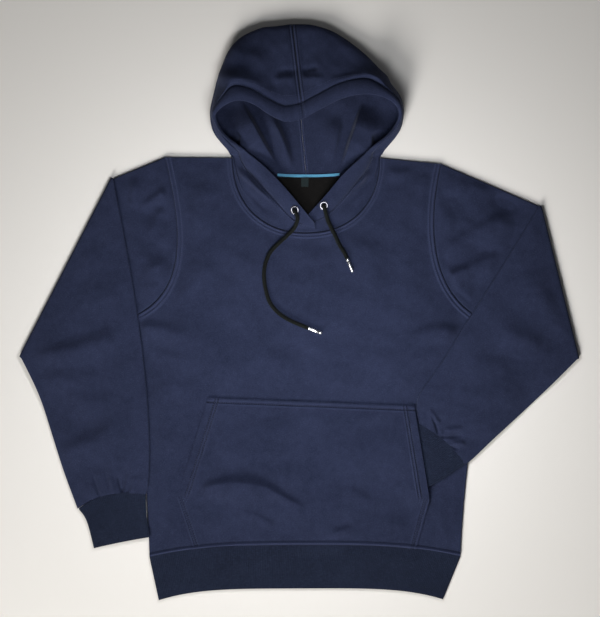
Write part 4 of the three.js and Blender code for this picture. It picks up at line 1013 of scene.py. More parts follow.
def hoodPoint(side, row, column):
    table = easedRow(hoodTables[side], row)
    rim, end = table[:3], hoodEnd(side, row)
    if row <= lastFront:
        channel = min(hood["channelWidth"] / np.linalg.norm(rim - end), 0.55)
        stops = [frontShares[0], (hood["channelColumn"], channel), *frontShares[1:]]
        share = np.interp(column, [s[0] for s in stops], [s[1] for s in stops])
        point = rim + (end - rim) * share
        point[2] = end[2] + (rim[2] - end[2]) * (1 - share) ** 1.25
        return point
    mid, fold, foot = table[3:6], table[6:9], table[9:12].copy()
    foot[2] = max(0, foot[2])
    part = min(int(column), 3)
    f = column - part
    through = (fold - rim) * 0.5

    def dropAt(other):
        return np.array([0, 0, -math.sqrt(6 * hood["foldRadius"] * np.linalg.norm(fold - other))])

    if part == 0:
        channel = min(hood["channelWidth"] / np.linalg.norm(rim - mid), 0.7)
        edge = hood["channelColumn"]
        share = f / edge * channel if f < edge else channel + (1 - channel) * (f - edge) / (1 - edge)
        point = hermite(rim, mid, mid - rim, through, share)
    elif part == 1:
        point = hermite(mid, fold, through, dropAt(mid), 1 - (1 - f) ** 1.7)
    elif part == 2:
        landing = (end - foot) * min(1, np.linalg.norm(fold - foot) / np.linalg.norm(end - foot))
        point = hermite(fold, foot, dropAt(foot), landing, f)
    else:
        point = foot + (end - foot) * f
    ridge = sum(foldRise(mark, point[None])[0] for mark in hood["innerFolds"]) if column > 2.8 else 0
    inside = float(smoothstep(column, 2.8, 3.1) * smoothstep(4 - column, 0, 0.12))
    if row == lastRow:
        point[0] += (-1 if side == "right" else 1) * cloth["seamGap"] / 2
    point[2] = max(0, point[2]) + ridge * inside + gatherRise(row, column)
    return point


def hoodNormal(side, row, column):
    step = 0.02
    isFront = row <= lastFront
    rowA = max(0 if isFront else lastFront + 1, row - step)
    rowB = min(lastFront if isFront else lastRow, rowA + step if isFront else row + step)
    columnA, columnB = max(0, column - step), min(4, column + step)
    alongRows = hoodPoint(side, rowB, column) - hoodPoint(side, rowA, column)
    alongColumns = hoodPoint(side, row, columnB) - hoodPoint(side, row, columnA)
    outward = -1 if side == "right" else 1
    normal = np.cross(alongColumns, alongRows) * outward
    if row == lastRow:
        normal[0] = 0
    level = np.array([outward * math.sin(turnAt(row)), 0, math.cos(turnAt(row))])
    free = float(smoothstep(4 - column, 0, 1.2) if isFront else smoothstep(3 - column, 0, 0.4))
    return unit(level + (unit(normal) - level) * free)


def channelRise(row, column):
    across = min(max(column / hood["channelColumn"], 0), 1)
    return hood["channelRise"] * math.sin(math.pi * across) * float(smoothstep(row, 0.5, 2))


def rimRelief(row, column):
    # The rim rolls up between its edge and its stitches, and the cloth swells again behind them
    edge = hood["channelColumn"]
    roll = hoodLooks["roll"] * math.sin(math.pi * min(column / edge, 1)) * float(smoothstep(row, 0.5, 2))
    dip = hoodLooks["dip"] * math.exp(-(((column - edge) / 0.028) ** 2)) * (row > 0.5)
    behind = (hoodLooks["behind"] * math.exp(-(((column - edge - 0.11) / 0.07) ** 2))
              * float(smoothstep(row, 2, 4)))
    return roll - dip + behind


def browRise(row, column):
    # The brow stands higher than the crown, which falls away behind it
    side = math.exp(-(((row - hoodLooks["browRow"]) / hoodLooks["browReach"]) ** 2))
    along = float(1 - smoothstep(column, 0.5, 1.85))
    return hoodLooks["brow"] * side * along


def dressHood(side):
    sideRows = np.arange(lastFront + 1, 15.2, hoodGrid["sideStep"])
    gatherRows = np.arange(15.25, lastRow + 0.01, hoodGrid["gatherStep"])
    rows = [*hoodGrid["frontRows"], *sideRows, *gatherRows]
    shape = (len(rows), len(hoodGrid["columns"]), 3)
    outer, inner, lift, layer = np.zeros(shape), np.zeros(shape), np.zeros(shape), np.zeros(shape[:2])
    for i, row in enumerate(rows):
        for j, column in enumerate(hoodGrid["columns"]):
            point, normal = hoodPoint(side, row, column), hoodNormal(side, row, column)
            rise = channelRise(row, column)
            outer[i, j] = point + normal * (rise + rimRelief(row, column))
            outer[i, j, 2] = max(0, outer[i, j, 2])
            inner[i, j] = point - normal * (cloth["fleece"] + rise)
            if column < 2:
                outer[i, j, 2] += browRise(row, column)
                inner[i, j, 2] += browRise(row, column)
            endHold = smoothstep(4 - column, 0, 0.4)
            # Creases inside the hood rise towards the eye, so they move against the outward face
            if column < 2:
                hold = smoothstep(column, 0.5, 0.75) * (1 - smoothstep(column, 1.6, 1.9)) * endHold
                lift[i, j] = normal * float(hold)
            else:
                lift[i, j, 2] = float(smoothstep(column, 2.05, 2.8) * smoothstep(4 - column, 0, 0.4)
                                      * smoothstep(row, 8.5, 9.5))
            layer[i, j] = 1 if column >= 2 else 0
    title = f"hood_{side}_cloth"
    made = finer(title, makeWall(title, outer, inner, lift, layer), 2)
    marks = creases[f"hood_{side}"]

    crown = np.array([hoodPoint(side, lastRow, column)[:2] for column in np.linspace(0.5, 1.9, 30)])
    under = np.array([hoodPoint(side, lastRow, column)[:2] for column in np.linspace(3, 4, 30)])

    def rise(points, layer):
        nearSeam = smoothstep(gapTo(crown, points)[0], 2, 12)
        upper = creaseRise(marks["upper"], points) + 1.3 * softWaves(points, 17) * nearSeam
        inside = np.maximum(creaseRise(marks["inside"], points) + softWaves(points, 19), -0.2)
        return np.where(layer < 0.5, upper, inside)

    def relief(points, layer):
        upper = seamRelief("crown", gapTo(crown, points)[0])
        inside = np.maximum(seamRelief("crown", gapTo(under, points)[0]), 0)
        return np.where(layer < 0.5, upper, inside)

    moveCloth(made, rise, relief)
    return made


hoodPieces = {name: dressHood(name) for name in ("right", "left")}

print("stage: ribbed bands")
ribs = {"pitch": 2.7, "radius": 0.95, "sink": 0.55, "sides": 7}
bandGrid = {
    "rows": [0, 0.06, 0.15, 0.3, 0.5, 0.7, 0.85, 0.95, 1],
    "hemColumns": list(np.linspace(0, 1, 41)),
    "cuffColumns": list(np.linspace(0, 1, 17)),
}


def hemRows(along):
    def plan(share):
        point = mix(archPoint(hem["seam"], share), archPoint(hem["edge"], share), np.full(len(share), along))
        point[:, 1] += 3 * cloth["seamGap"] * (along == 0)
        return point
    ends = plan(np.array([0.0, 1.0]))

    def place(share, height):
        swell = hem["swell"] * acrossSwell(share) * math.sin(math.pi * along)
        return stacked(plan(share), height + np.where(height > pressedRib / 2, swell, 0))
    return np.linalg.norm(ends[1] - ends[0]), place, True, 0


def cuffRowsOf(name):
    facts = sleeves[name]
    rows = np.array(facts["cuff"], float)
    down = unit(rows[-1, :2] - rows[0, :2])

    def rowOf(along):
        row = easedRow(rows, along * (len(rows) - 1))

        def place(share, height):
            plan = rowPoint(row, share, facts["outward"]) + down * (-4 * cloth["seamGap"] * (along == 0))
            swell = sleeves["cuffSwell"] * acrossSwell(share) * math.sin(math.pi * along)
            rise = np.where(height < pressedRib / 2, swell, 0)
            return stacked(plan, layersBelow(name, plan) + pressedRib - height + rise)
        return rowWidth(row), place, False, 0
    return rowOf


def ribLines(rowOf, width):
    # Each rib runs from the seam to the free edge, all round the pressed band
    count = int(round(2 * width / ribs["pitch"]))
    lines = []
    alongs = np.linspace(0, 1, 12)
    for k in range(count):
        line = []
        for along in alongs:
            rowLength, place, _, _ = rowOf(float(along))
            half = pressedRib / 2
            radius = half - ribs["sink"]
            flat = rowLength - pressedRib
            wayRound = 2 * (flat + math.pi * radius)
            run = (k + 0.5) / count * wayRound
            if run < flat:
                distance, height = half + run, ribs["sink"]
            elif run < flat + math.pi * radius:
                turn = (run - flat) / radius
                distance, height = half + flat + radius * math.sin(turn), half - radius * math.cos(turn)
            elif run < 2 * flat + math.pi * radius:
                distance, height = half + flat - (run - flat - math.pi * radius), pressedRib - ribs["sink"]
            else:
                turn = (run - 2 * flat - math.pi * radius) / radius
                distance, height = half - radius * math.sin(turn), half + radius * math.cos(turn)
            line.append(place(np.array([distance / rowLength]), np.array([height]))[0])
        lines.append(np.array(line))
    return lines


def linesMesh(name, lines, ups=None):
    points, edges, faceUps = [], [], []
    for k, line in enumerate(lines):
        first = len(points)
        points.extend((line * mm).tolist())
        edges.extend((first + i, first + i + 1) for i in range(len(line) - 1))
        if ups is not None:
            faceUps.extend(ups[k])
    mesh = bpy.data.meshes.new(name)
    mesh.from_pydata(points, edges, [])
    if ups is not None:
        field = mesh.attributes.new("faceUp", "FLOAT_VECTOR", "POINT")
        field.data.foreach_set("vector", np.array(faceUps, np.float32).reshape(-1))
    return mesh


# Node trees for what repeats
def newTree(name, inputs):
    tree = bpy.data.node_groups.new(name, "GeometryNodeTree")
    tree.interface.new_socket(name="Geometry", in_out="INPUT", socket_type="NodeSocketGeometry")
    sockets = {}
    for title, kind in inputs:
        sockets[title] = tree.interface.new_socket(name=title, in_out="INPUT", socket_type=kind).identifier
    tree.interface.new_socket(name="Geometry", in_out="OUTPUT", socket_type="NodeSocketGeometry")
    return tree, sockets


def addNode(tree, kind, **settings):
    node = tree.nodes.new(kind)
    for key, value in settings.items():
        setattr(node, key, value)
    return node


def makeRibTree():
    tree, sockets = newTree("ribKnit",
                            [("Rib Radius", "NodeSocketFloat"), ("Sides", "NodeSocketInt"),
                             ("Material", "NodeSocketMaterial")])
    link = tree.links.new
    given, out = addNode(tree, "NodeGroupInput"), addNode(tree, "NodeGroupOutput")
    toCurve = addNode(tree, "GeometryNodeMeshToCurve")
    circle = addNode(tree, "GeometryNodeCurvePrimitiveCircle")
    sweep = addNode(tree, "GeometryNodeCurveToMesh")
    sweep.inputs["Fill Caps"].default_value = True
    realize = addNode(tree, "GeometryNodeRealizeInstances")
    smooth = addNode(tree, "GeometryNodeSetShadeSmooth")
    finish = addNode(tree, "GeometryNodeSetMaterial")
    link(given.outputs["Geometry"], toCurve.inputs["Mesh"])
    link(given.outputs["Rib Radius"], circle.inputs["Radius"])
    link(given.outputs["Sides"], circle.inputs["Resolution"])
    link(toCurve.outputs["Curve"], sweep.inputs["Curve"])
    link(circle.outputs["Curve"], sweep.inputs["Profile Curve"])
    link(sweep.outputs["Mesh"], smooth.inputs["Geometry"])
    link(smooth.outputs["Geometry"], realize.inputs["Geometry"])
    link(realize.outputs["Geometry"], finish.inputs["Geometry"])
    link(given.outputs["Material"], finish.inputs["Material"])
    link(finish.outputs["Geometry"], out.inputs["Geometry"])
    return tree, sockets


def makeStitchTree():
    inputs = [("Pitch", "NodeSocketFloat"), ("Size", "NodeSocketVector"), ("Material", "NodeSocketMaterial")]
    tree, sockets = newTree("stitchRun", inputs)
    link = tree.links.new
    given, out = addNode(tree, "NodeGroupInput"), addNode(tree, "NodeGroupOutput")
    toCurve = addNode(tree, "GeometryNodeMeshToCurve")
    resample = addNode(tree, "GeometryNodeResampleCurve", mode="LENGTH")
    bead = addNode(tree, "GeometryNodeMeshUVSphere")
    bead.inputs["Segments"].default_value = 5
    bead.inputs["Rings"].default_value = 4
    bead.inputs["Radius"].default_value = 0.5
    shape = addNode(tree, "GeometryNodeTransform")
    place = addNode(tree, "GeometryNodeInstanceOnPoints")
    tangent = addNode(tree, "GeometryNodeInputTangent")
    faceUp = addNode(tree, "GeometryNodeInputNamedAttribute", data_type="FLOAT_VECTOR")
    faceUp.inputs["Name"].default_value = "faceUp"
    alongThread = addNode(tree, "FunctionNodeAlignRotationToVector", axis="X")
    upright = addNode(tree, "FunctionNodeAlignRotationToVector", axis="Z", pivot_axis="X")
    realize = addNode(tree, "GeometryNodeRealizeInstances")
    smooth = addNode(tree, "GeometryNodeSetShadeSmooth")
    finish = addNode(tree, "GeometryNodeSetMaterial")
    link(given.outputs["Geometry"], toCurve.inputs["Mesh"])
    link(toCurve.outputs["Curve"], resample.inputs["Curve"])
    link(given.outputs["Pitch"], resample.inputs["Length"])
    link(resample.outputs["Curve"], place.inputs["Points"])
    link(bead.outputs["Mesh"], shape.inputs["Geometry"])
    link(given.outputs["Size"], shape.inputs["Scale"])
    link(shape.outputs["Geometry"], place.inputs["Instance"])
    link(tangent.outputs["Tangent"], alongThread.inputs["Vector"])
    link(alongThread.outputs["Rotation"], upright.inputs["Rotation"])
    link(faceUp.outputs["Attribute"], upright.inputs["Vector"])
    link(upright.outputs["Rotation"], place.inputs["Rotation"])
    link(place.outputs["Instances"], realize.inputs["Geometry"])
    link(realize.outputs["Geometry"], smooth.inputs["Geometry"])
    link(smooth.outputs["Geometry"], finish.inputs["Geometry"])
    link(given.outputs["Material"], finish.inputs["Material"])
    link(finish.outputs["Geometry"], out.inputs["Geometry"])
    return tree, sockets


def grown(name, mesh, tree, sockets, values):
    # Runs a tree over a mesh of lines and returns the plain mesh it makes
    base = linked(name, mesh)
    modifier = base.modifiers.new("repeat", "NODES")
    modifier.node_group = tree
    for title, value in values.items():
        modifier[sockets[title]] = value
    made = plainMesh(base)
    bpy.data.objects.remove(base)
    return made


# Finishes
finishes = {
    "fleece": {"dark": (0.0077, 0.0113, 0.0288), "light": (0.0205, 0.0268, 0.0612),
               "speck": (0.04, 0.047, 0.088),
               "grain": 2300, "bump": 0.5, "sheen": 0.1},
    "rib": {"dark": (0.0046, 0.0076, 0.019), "light": (0.0115, 0.017, 0.037), "speck": (0.024, 0.029, 0.054),
            "grain": 1100, "bump": 0.35, "sheen": 0.06},
    "patch": {"dark": (0.0018, 0.0017, 0.0017), "light": (0.0048, 0.0042, 0.004),
              "speck": (0.012, 0.011, 0.01),
              "grain": 1300, "bump": 0.3, "sheen": 0.02},
    "cord": {"dark": (0.0016, 0.0022, 0.002), "light": (0.0065, 0.008, 0.007),
             "speck": (0.015, 0.018, 0.015),
             "grain": 1500, "bump": 0.4, "sheen": 0.03},
    "thread": {"dark": (0.028, 0.037, 0.08), "light": (0.055, 0.068, 0.125), "speck": (0.08, 0.09, 0.14),
               "grain": 2500, "bump": 0.1, "sheen": 0.06},
}
paintedSeamShading = {"ridge": 1.0, "furrow": 0.9}  # how strongly a seam's ridges get painted highlight and its furrows painted shade


def newMaterial(name):
    material = bpy.data.materials.new(name)
    material.use_nodes = True
    nodes, links = material.node_tree.nodes, material.node_tree.links
    return material, nodes, links, nodes["Principled BSDF"]


def noiseNode(nodes, links, coordinates, scale, detail=2.0):
    noise = nodes.new("ShaderNodeTexNoise")
    noise.inputs["Scale"].default_value = scale
    noise.inputs["Detail"].default_value = detail
    links.new(coordinates, noise.inputs["Vector"])
    return noise.outputs["Fac"]


def stretched(nodes, links, coordinates, turn, stretch):
    mapping = nodes.new("ShaderNodeMapping")
    mapping.inputs["Rotation"].default_value = (0, 0, turn)
    mapping.inputs["Scale"].default_value = stretch
    links.new(coordinates, mapping.inputs["Vector"])
    return mapping.outputs["Vector"]


def ranged(nodes, links, value, low, high, toLow=0.0, toHigh=1.0):
    node = nodes.new("ShaderNodeMapRange")
    node.inputs["From Min"].default_value = low
    node.inputs["From Max"].default_value = high
    node.inputs["To Min"].default_value = toLow
    node.inputs["To Max"].default_value = toHigh
    links.new(value, node.inputs["Value"])
    return node.outputs["Result"]


def mathNode(nodes, links, operation, a, b):
    node = nodes.new("ShaderNodeMath")
    node.operation = operation
    for socket, value in zip(node.inputs, (a, b)):
        if isinstance(value, (int, float)):
            socket.default_value = value
        else:
            links.new(value, socket)
    return node.outputs[0]


def colourMix(nodes, links, share, a, b):
    node = nodes.new("ShaderNodeMix")
    node.data_type = "RGBA"
    links.new(share, node.inputs["Factor"])
    for socket, value in ((node.inputs[6], a), (node.inputs[7], b)):
        if isinstance(value, tuple):
            socket.default_value = (*value, 1)
        else:
            links.new(value, socket)
    return node.outputs[2]


def knitFinish(name, facts, turn=0.0):
    # Brushed knit: broad uneven dye, heathered flecks along the grain, a fibrous surface, and painted
    # highlight on seam ridges with painted shade in seam furrows
    material, nodes, links, shader = newMaterial(name)
    place = nodes.new("ShaderNodeTexCoord").outputs["Object"]
    grain = stretched(nodes, links, place, turn, (0.6, 1.0, 1.0))
    crossGrain = stretched(nodes, links, place, turn, (0.4, 1.0, 1.0))
    broad = noiseNode(nodes, links, place, 11, 3)
    patchy = noiseNode(nodes, links, place, 95, 3)
    flecks = noiseNode(nodes, links, grain, facts["grain"] * 0.4, 2)
    fibres = noiseNode(nodes, links, crossGrain, facts["grain"], 2)
    tone = mathNode(nodes, links, "ADD", ranged(nodes, links, flecks, 0.3, 0.7, 0, 0.55),
                    ranged(nodes, links, patchy, 0.3, 0.7, 0, 0.3))
    tone = mathNode(nodes, links, "ADD", tone, ranged(nodes, links, broad, 0.3, 0.7, -0.05, 0.22))
    # Painted highlight on seam ridges and painted shade in seam furrows, read from the seams' relief
    paintedSeamLight = nodes.new("ShaderNodeAttribute")
    paintedSeamLight.attribute_name = "paintedSeamLight"
    paintedRidgeHighlight = ranged(nodes, links, paintedSeamLight.outputs["Fac"], 0, 1.2, 0, paintedSeamShading["ridge"])
    tone = mathNode(nodes, links, "ADD", tone, paintedRidgeHighlight)
    base = colourMix(nodes, links, tone, facts["dark"], facts["light"])
    shade = ranged(nodes, links, paintedSeamLight.outputs["Fac"], 0, -1.0, 0, paintedSeamShading["furrow"])
    base = colourMix(nodes, links, shade, base, tuple(part * 0.35 for part in facts["dark"]))
    specks = ranged(nodes, links, mathNode(nodes, links, "MULTIPLY", flecks, fibres), 0.33, 0.46, 0, 0.5)
    links.new(colourMix(nodes, links, specks, base, facts["speck"]), shader.inputs["Base Color"])
    bump = nodes.new("ShaderNodeBump")
    bump.inputs["Strength"].default_value = facts["bump"]
    bump.inputs["Distance"].default_value = 0.0006
    links.new(mathNode(nodes, links, "ADD", fibres, flecks), bump.inputs["Height"])
    links.new(bump.outputs["Normal"], shader.inputs["Normal"])
    shader.inputs["Roughness"].default_value = 0.95
    shader.inputs["Specular IOR Level"].default_value = 0.15
    shader.inputs["Sheen Weight"].default_value = facts["sheen"]
    shader.inputs["Sheen Roughness"].default_value = 0.45
    shader.inputs["Sheen Tint"].default_value = (0.62, 0.68, 0.95, 1)
    return material


def metalFinish(name, dark, light):
    material, nodes, links, shader = newMaterial(name)
    place = nodes.new("ShaderNodeTexCoord").outputs["Object"]
    scuffs = noiseNode(nodes, links, place, 1200, 3)
    links.new(colourMix(nodes, links, scuffs, dark, light), shader.inputs["Base Color"])
    links.new(ranged(nodes, links, scuffs, 0.3, 0.7, 0.16, 0.32), shader.inputs["Roughness"])
    shader.inputs["Metallic"].default_value = 1.0
    return material


def tapeFinish():
    material, nodes, links, shader = newMaterial("blueTape")
    place = nodes.new("ShaderNodeTexCoord").outputs["Object"]
    weave = noiseNode(nodes, links, stretched(nodes, links, place, 0.0, (0.3, 1, 1)), 1500, 2)
    links.new(colourMix(nodes, links, weave, (0.03, 0.16, 0.3), (0.08, 0.3, 0.46)),
              shader.inputs["Base Color"])
    bump = nodes.new("ShaderNodeBump")
    bump.inputs["Strength"].default_value = 0.4
    bump.inputs["Distance"].default_value = 0.0003
    links.new(weave, bump.inputs["Height"])
    links.new(bump.outputs["Normal"], shader.inputs["Normal"])
    shader.inputs["Roughness"].default_value = 0.7
    return material


def labelFinish():
    material, nodes, links, shader = newMaterial("blackSatin")
    place = nodes.new("ShaderNodeTexCoord").outputs["Object"]
    weave = noiseNode(nodes, links, stretched(nodes, links, place, 0.0, (1, 0.2, 1)), 2200, 2)
    links.new(colourMix(nodes, links, weave, (0.004, 0.008, 0.009), (0.012, 0.021, 0.023)),
              shader.inputs["Base Color"])
    shader.inputs["Roughness"].default_value = 0.55
    shader.inputs["Specular IOR Level"].default_value = 0.1
    return material


materials = {name: knitFinish(name + "Knit", facts) for name, facts in finishes.items()}
sleeveTurns = {"right": math.radians(-14), "left": math.radians(42)}
for name, turn in sleeveTurns.items():
    materials[f"sleeve_{name}"] = knitFinish(f"sleeve{name.title()}Knit", finishes["fleece"], turn)
materials["metal"] = metalFinish("silverPlate", (0.7, 0.71, 0.73), (0.92, 0.92, 0.93))
# The eyelets' silver plate is a darker copy of the tips': painted shade, so they give fewer glints
materials["eyelet"] = metalFinish("shadedSilverPlate", (0.1, 0.1, 0.12), (0.24, 0.24, 0.26))
materials["tape"] = tapeFinish()
materials["label"] = labelFinish()
ribTree, ribSockets = makeRibTree()
stitchTree, stitchSockets = makeStitchTree()


def dressBand(name, rowOf, columns, marks):
    title = f"{name}_cloth"
    core = finer(title,
                 pressedTube(title, [rowOf(along) for along in bandGrid["rows"]], cloth["rib"], columns), 1)
    points = readPoints(core.data)
    moveCloth(core, lambda p, layer: creaseRise(marks, p))
    core.data.materials.append(materials["rib"])
    lines = ribLines(rowOf, rowOf(0.0)[0])
    for line in lines:
        top = line[:, 2] > np.median(points[:, 2])
        line[:, 2] += creaseRise(marks, line) * top
    ribMesh = grown(f"{name}_lines", linesMesh(f"{name}_lines", lines), ribTree, ribSockets,
                    {"Rib Radius": ribs["radius"] * mm, "Sides": ribs["sides"],
                     "Material": materials["rib"]})
    return core, linked(f"{name}_ribs", ribMesh)


bands = {
    "hem_band": dressBand("hem_band", hemRows, bandGrid["hemColumns"], creases["hem_band"]),
    "cuff_right": dressBand("cuff_right", cuffRowsOf("right"), bandGrid["cuffColumns"], []),
    "cuff_left": dressBand("cuff_left", cuffRowsOf("left"), bandGrid["cuffColumns"], []),
}

for made, material in ((frontPiece, "fleece"), (backPiece, "fleece"), (pocketPiece, "fleece"),
                       (hoodPieces["right"], "fleece"), (hoodPieces["left"], "fleece"),
                       (sleevePieces["right"], "sleeve_right"), (sleevePieces["left"], "sleeve_left")):
    made.data.materials.append(materials[material])

print("stage: eyelets, drawcords and tips")
eyelet = {"outer": 6.6, "hole": 3.6, "rise": 1.4, "gap": 0.5,
          "places": {"right": (1.25, 0.22), "left": (1.4, 0.18)}}
cord = {
    "radius": 3.0, "sides": 28, "step": 0.8, "strands": 8, "twist": 0.62, "relief": 0.24,
    "routes": {
        "right": [(-3, 141), (-7, 127), (-18, 115), (-31, 103), (-44, 89), (-51, 72), (-53, 55),
                  (-51, 36), (-45, 16),
                  (-34, 1), (-19, -10), (-2, -18), (13, -24)],
        "left": [(42, 138), (47, 127), (53, 115), (60, 100), (67, 89), (71, 80)],
    },
    "lengths": {"right": 0.235, "left": 0.098},
}
tip = {"length": 22, "radius": 2.5,
       "profile": [(0, 0), (2.2, 0), (2.5, 0.5), (2.5, 3.2), (2.25, 3.8), (2.5, 4.4), (2.5, 17.2),
                                               (2.25, 17.8), (2.5, 18.4), (2.5, 20.6), (2.1, 21.6),
                   (1.2, 22), (0, 22)]}


def treeOf(*made):
    # One search tree over several pieces
    points, faces = [], []
    for piece in made:
        first = len(points)
        points.extend(vertex.co.copy() for vertex in piece.data.vertices)
        faces.extend([first + k for k in polygon.vertices] for polygon in piece.data.polygons)
    return BVHTree.FromPolygons(points, faces)


def lookDown(tree, x, y, fromHeight=300.0):
    place, normal, _, _ = tree.ray_cast(Vector((x, y, fromHeight)) * mm, Vector((0, 0, -1)))
    return (np.array(place) / mm, np.array(normal)) if place else (None, None)


def turned(profile, centre, axis, segments, name, finish="metal"):
    # A profile of radius and height, turned about an axis
    helper = Vector((1, 0, 0)) if abs(axis[0]) < 0.9 else Vector((0, 1, 0))
    axis = Vector(axis).normalized()
    side = axis.cross(helper).normalized()
    other = axis.cross(side)
    points, faces = [], []
    for radius, height in profile:
        for k in range(segments):
            angle = 2 * math.pi * k / segments
            place = (Vector(centre) + axis * height
                     + (side * math.cos(angle) + other * math.sin(angle)) * radius)
            points.append(place * mm)
    for i in range(len(profile) - 1):
        for k in range(segments):
            n = (k + 1) % segments
            faces.append((i * segments + k, i * segments + n, (i + 1) * segments + n,
                          (i + 1) * segments + k))
    shape = bmesh.new()
    mesh = bpy.data.meshes.new(name)
    mesh.from_pydata(points, [], faces)
    shape.from_mesh(mesh)
    bmesh.ops.remove_doubles(shape, verts=shape.verts, dist=1e-6)
    bmesh.ops.recalc_face_normals(shape, faces=shape.faces)
    shape.to_mesh(mesh)
    shape.free()
    mesh.shade_smooth()
    mesh.set_sharp_from_angle(angle=math.radians(40))
    mesh.materials.append(materials[finish])
    return linked(name, mesh)


def eyeletSeat(side):
    row, column = eyelet["places"][side]
    normal = hoodNormal(side, row, column)
    return hoodPoint(side, row, column) + normal * (channelRise(row, column) + eyelet["gap"]), normal


def makeEyelet(side):
    seat, normal = eyeletSeat(side)
    turns = np.radians(np.linspace(0, 360, 15))
    middle, half = (eyelet["outer"] + eyelet["hole"]) / 2, (eyelet["outer"] - eyelet["hole"]) / 2
    profile = [(middle + half * math.cos(t), eyelet["rise"] / 2 * (1 + math.sin(t))) for t in turns]
    return turned(profile, seat, normal, 48, f"eyelet_{side}_ring", "eyelet")


def cordPath(side, below):
    seat, normal = eyeletSeat(side)
    radius = cord["radius"]
    points = [seat + normal * 0.4]
    route = np.array(cord["routes"][side], float)
    leaving = unit(np.append(route[0], 0) - np.append(seat[:2], 0))
    points.append(seat + normal * 3.6 + leaving * 1.6)
    for x, y in route:
        heights = [lookDown(below, x + dx * radius, y + dy * radius)[0] for dx,
                   dy in ((0, 0), (1, 0), (-1, 0), (0, 1), (0, -1))]
        points.append(np.array([x, y, max(h[2] for h in heights if h is not None) + radius + 0.25]))
    rows = np.array(points)
    fine = np.array([easedRow(rows, at) for at in np.linspace(0, len(rows) - 1, 40 * len(rows))])
    line = evenLine(fine)
    length = np.linalg.norm(np.diff(fine, axis=0), axis=1).sum()
    return onLine(line, np.linspace(0, 1, int(length / cord["step"]))), length


def makeCord(side, path):
    # A round braid: two families of strands that cross round the cord
    tangents = unit(np.gradient(path, axis=0))
    up = np.array([0.0, 0.0, 1.0])
    points, faces = [], []
    sides = cord["sides"]
    for i, (place, along) in enumerate(zip(path, tangents)):
        up = unit(up - along * (up @ along))
        across = np.cross(along, up)
        run = i * cord["step"]
        for k in range(sides):
            angle = 2 * math.pi * k / sides
            one = abs(math.cos(cord["strands"] / 2 * angle + cord["twist"] * run))
            two = abs(math.cos(cord["strands"] / 2 * angle - cord["twist"] * run))
            radius = cord["radius"] - cord["relief"] * (1 - max(one, two)) * 2
            points.append(place + (up * math.cos(angle) + across * math.sin(angle)) * radius)
    for i in range(len(path) - 1):
        for k in range(sides):
            n = (k + 1) % sides
            faces.append((i * sides + k, i * sides + n, (i + 1) * sides + n, (i + 1) * sides + k))
    faces.append(tuple(range(sides))[::-1])
    faces.append(tuple((len(path) - 1) * sides + k for k in range(sides)))
    mesh = bpy.data.meshes.new(f"drawcord_{side}_braid")
    mesh.from_pydata((np.array(points) * mm).tolist(), [], faces)
    check = bmesh.new()
    check.from_mesh(mesh)
    bmesh.ops.recalc_face_normals(check, faces=check.faces)
    check.to_mesh(mesh)
    check.free()
    mesh.shade_smooth()
    mesh.materials.append(materials["cord"])
    return linked(mesh.name, mesh)


clothBelow = treeOf(frontPiece, hoodPieces["right"], hoodPieces["left"])
cordPieces, tipPieces, eyeletPieces, cordPaths = {}, {}, {}, {}
for side in ("right", "left"):
    eyeletPieces[side] = makeEyelet(side)
    path, length = cordPath(side, clothBelow)
    cordPaths[side] = path
    print(f"drawcord_{side} is {length:.0f} long")
    cordPieces[side] = makeCord(side, path)
    start, along = path[-1], unit(path[-1] - path[-6])
    end = start + along * tip["length"]
    floor = lookDown(clothBelow, end[0], end[1])[0]
    lie = unit(np.array([end[0], end[1], floor[2] + tip["radius"] + 0.3]) - start)
    tipPieces[side] = turned(tip["profile"], start + lie * 0.2, lie, 32, f"tip_{side}_crimp")

print("stage: stitches")
stitch = {"pitch": 3.4, "size": (2.7, 0.55, 0.42)}


def offsetLine(line, distance):
    # A plan line moved aside, to the left of its run
    run = unit(np.gradient(line, axis=0))
    return line + distance * np.stack([-run[:, 1], run[:, 0]], -1)


def even(line, step=3.0):
    length = np.linalg.norm(np.diff(line, axis=0), axis=1).sum()
    return onLine(evenLine(line), np.linspace(0, 1, max(2, int(length / step))))


def seated(tree, plan, fromHeight=300.0, steepest=0.35):
    # The plan line dropped on the cloth, cut where it misses or gets too steep
    runs, ups, run, up = [], [], [], []
    for x, y in even(plan):
        place, normal = lookDown(tree, x, y, fromHeight)
        if place is None or abs(normal[2]) < steepest or (run and abs(place[2] - run[-1][2]) > 3.5):
            if len(run) > 2:
                runs.append(np.array(run))
                ups.append(up)
            run, up = [], []
            if place is None or abs(normal[2]) < steepest:
                continue
        normal = normal if normal[2] > 0 else -normal
        run.append(place + normal * 0.12)
        up.append(normal)
    if len(run) > 2:
        runs.append(np.array(run))
        ups.append(up)
    return runs, ups


def uncovered(line, outlines, margin=-3):
    # The stretch of a plan line that no other piece covers
    keep = np.ones(len(line), bool)
    for outline in outlines:
        keep &= depthInside(outline, line) < margin
    return line[keep]


def hoodLine(side, column, rows):
    return np.array([hoodPoint(side, row, column)[:2] for row in rows])


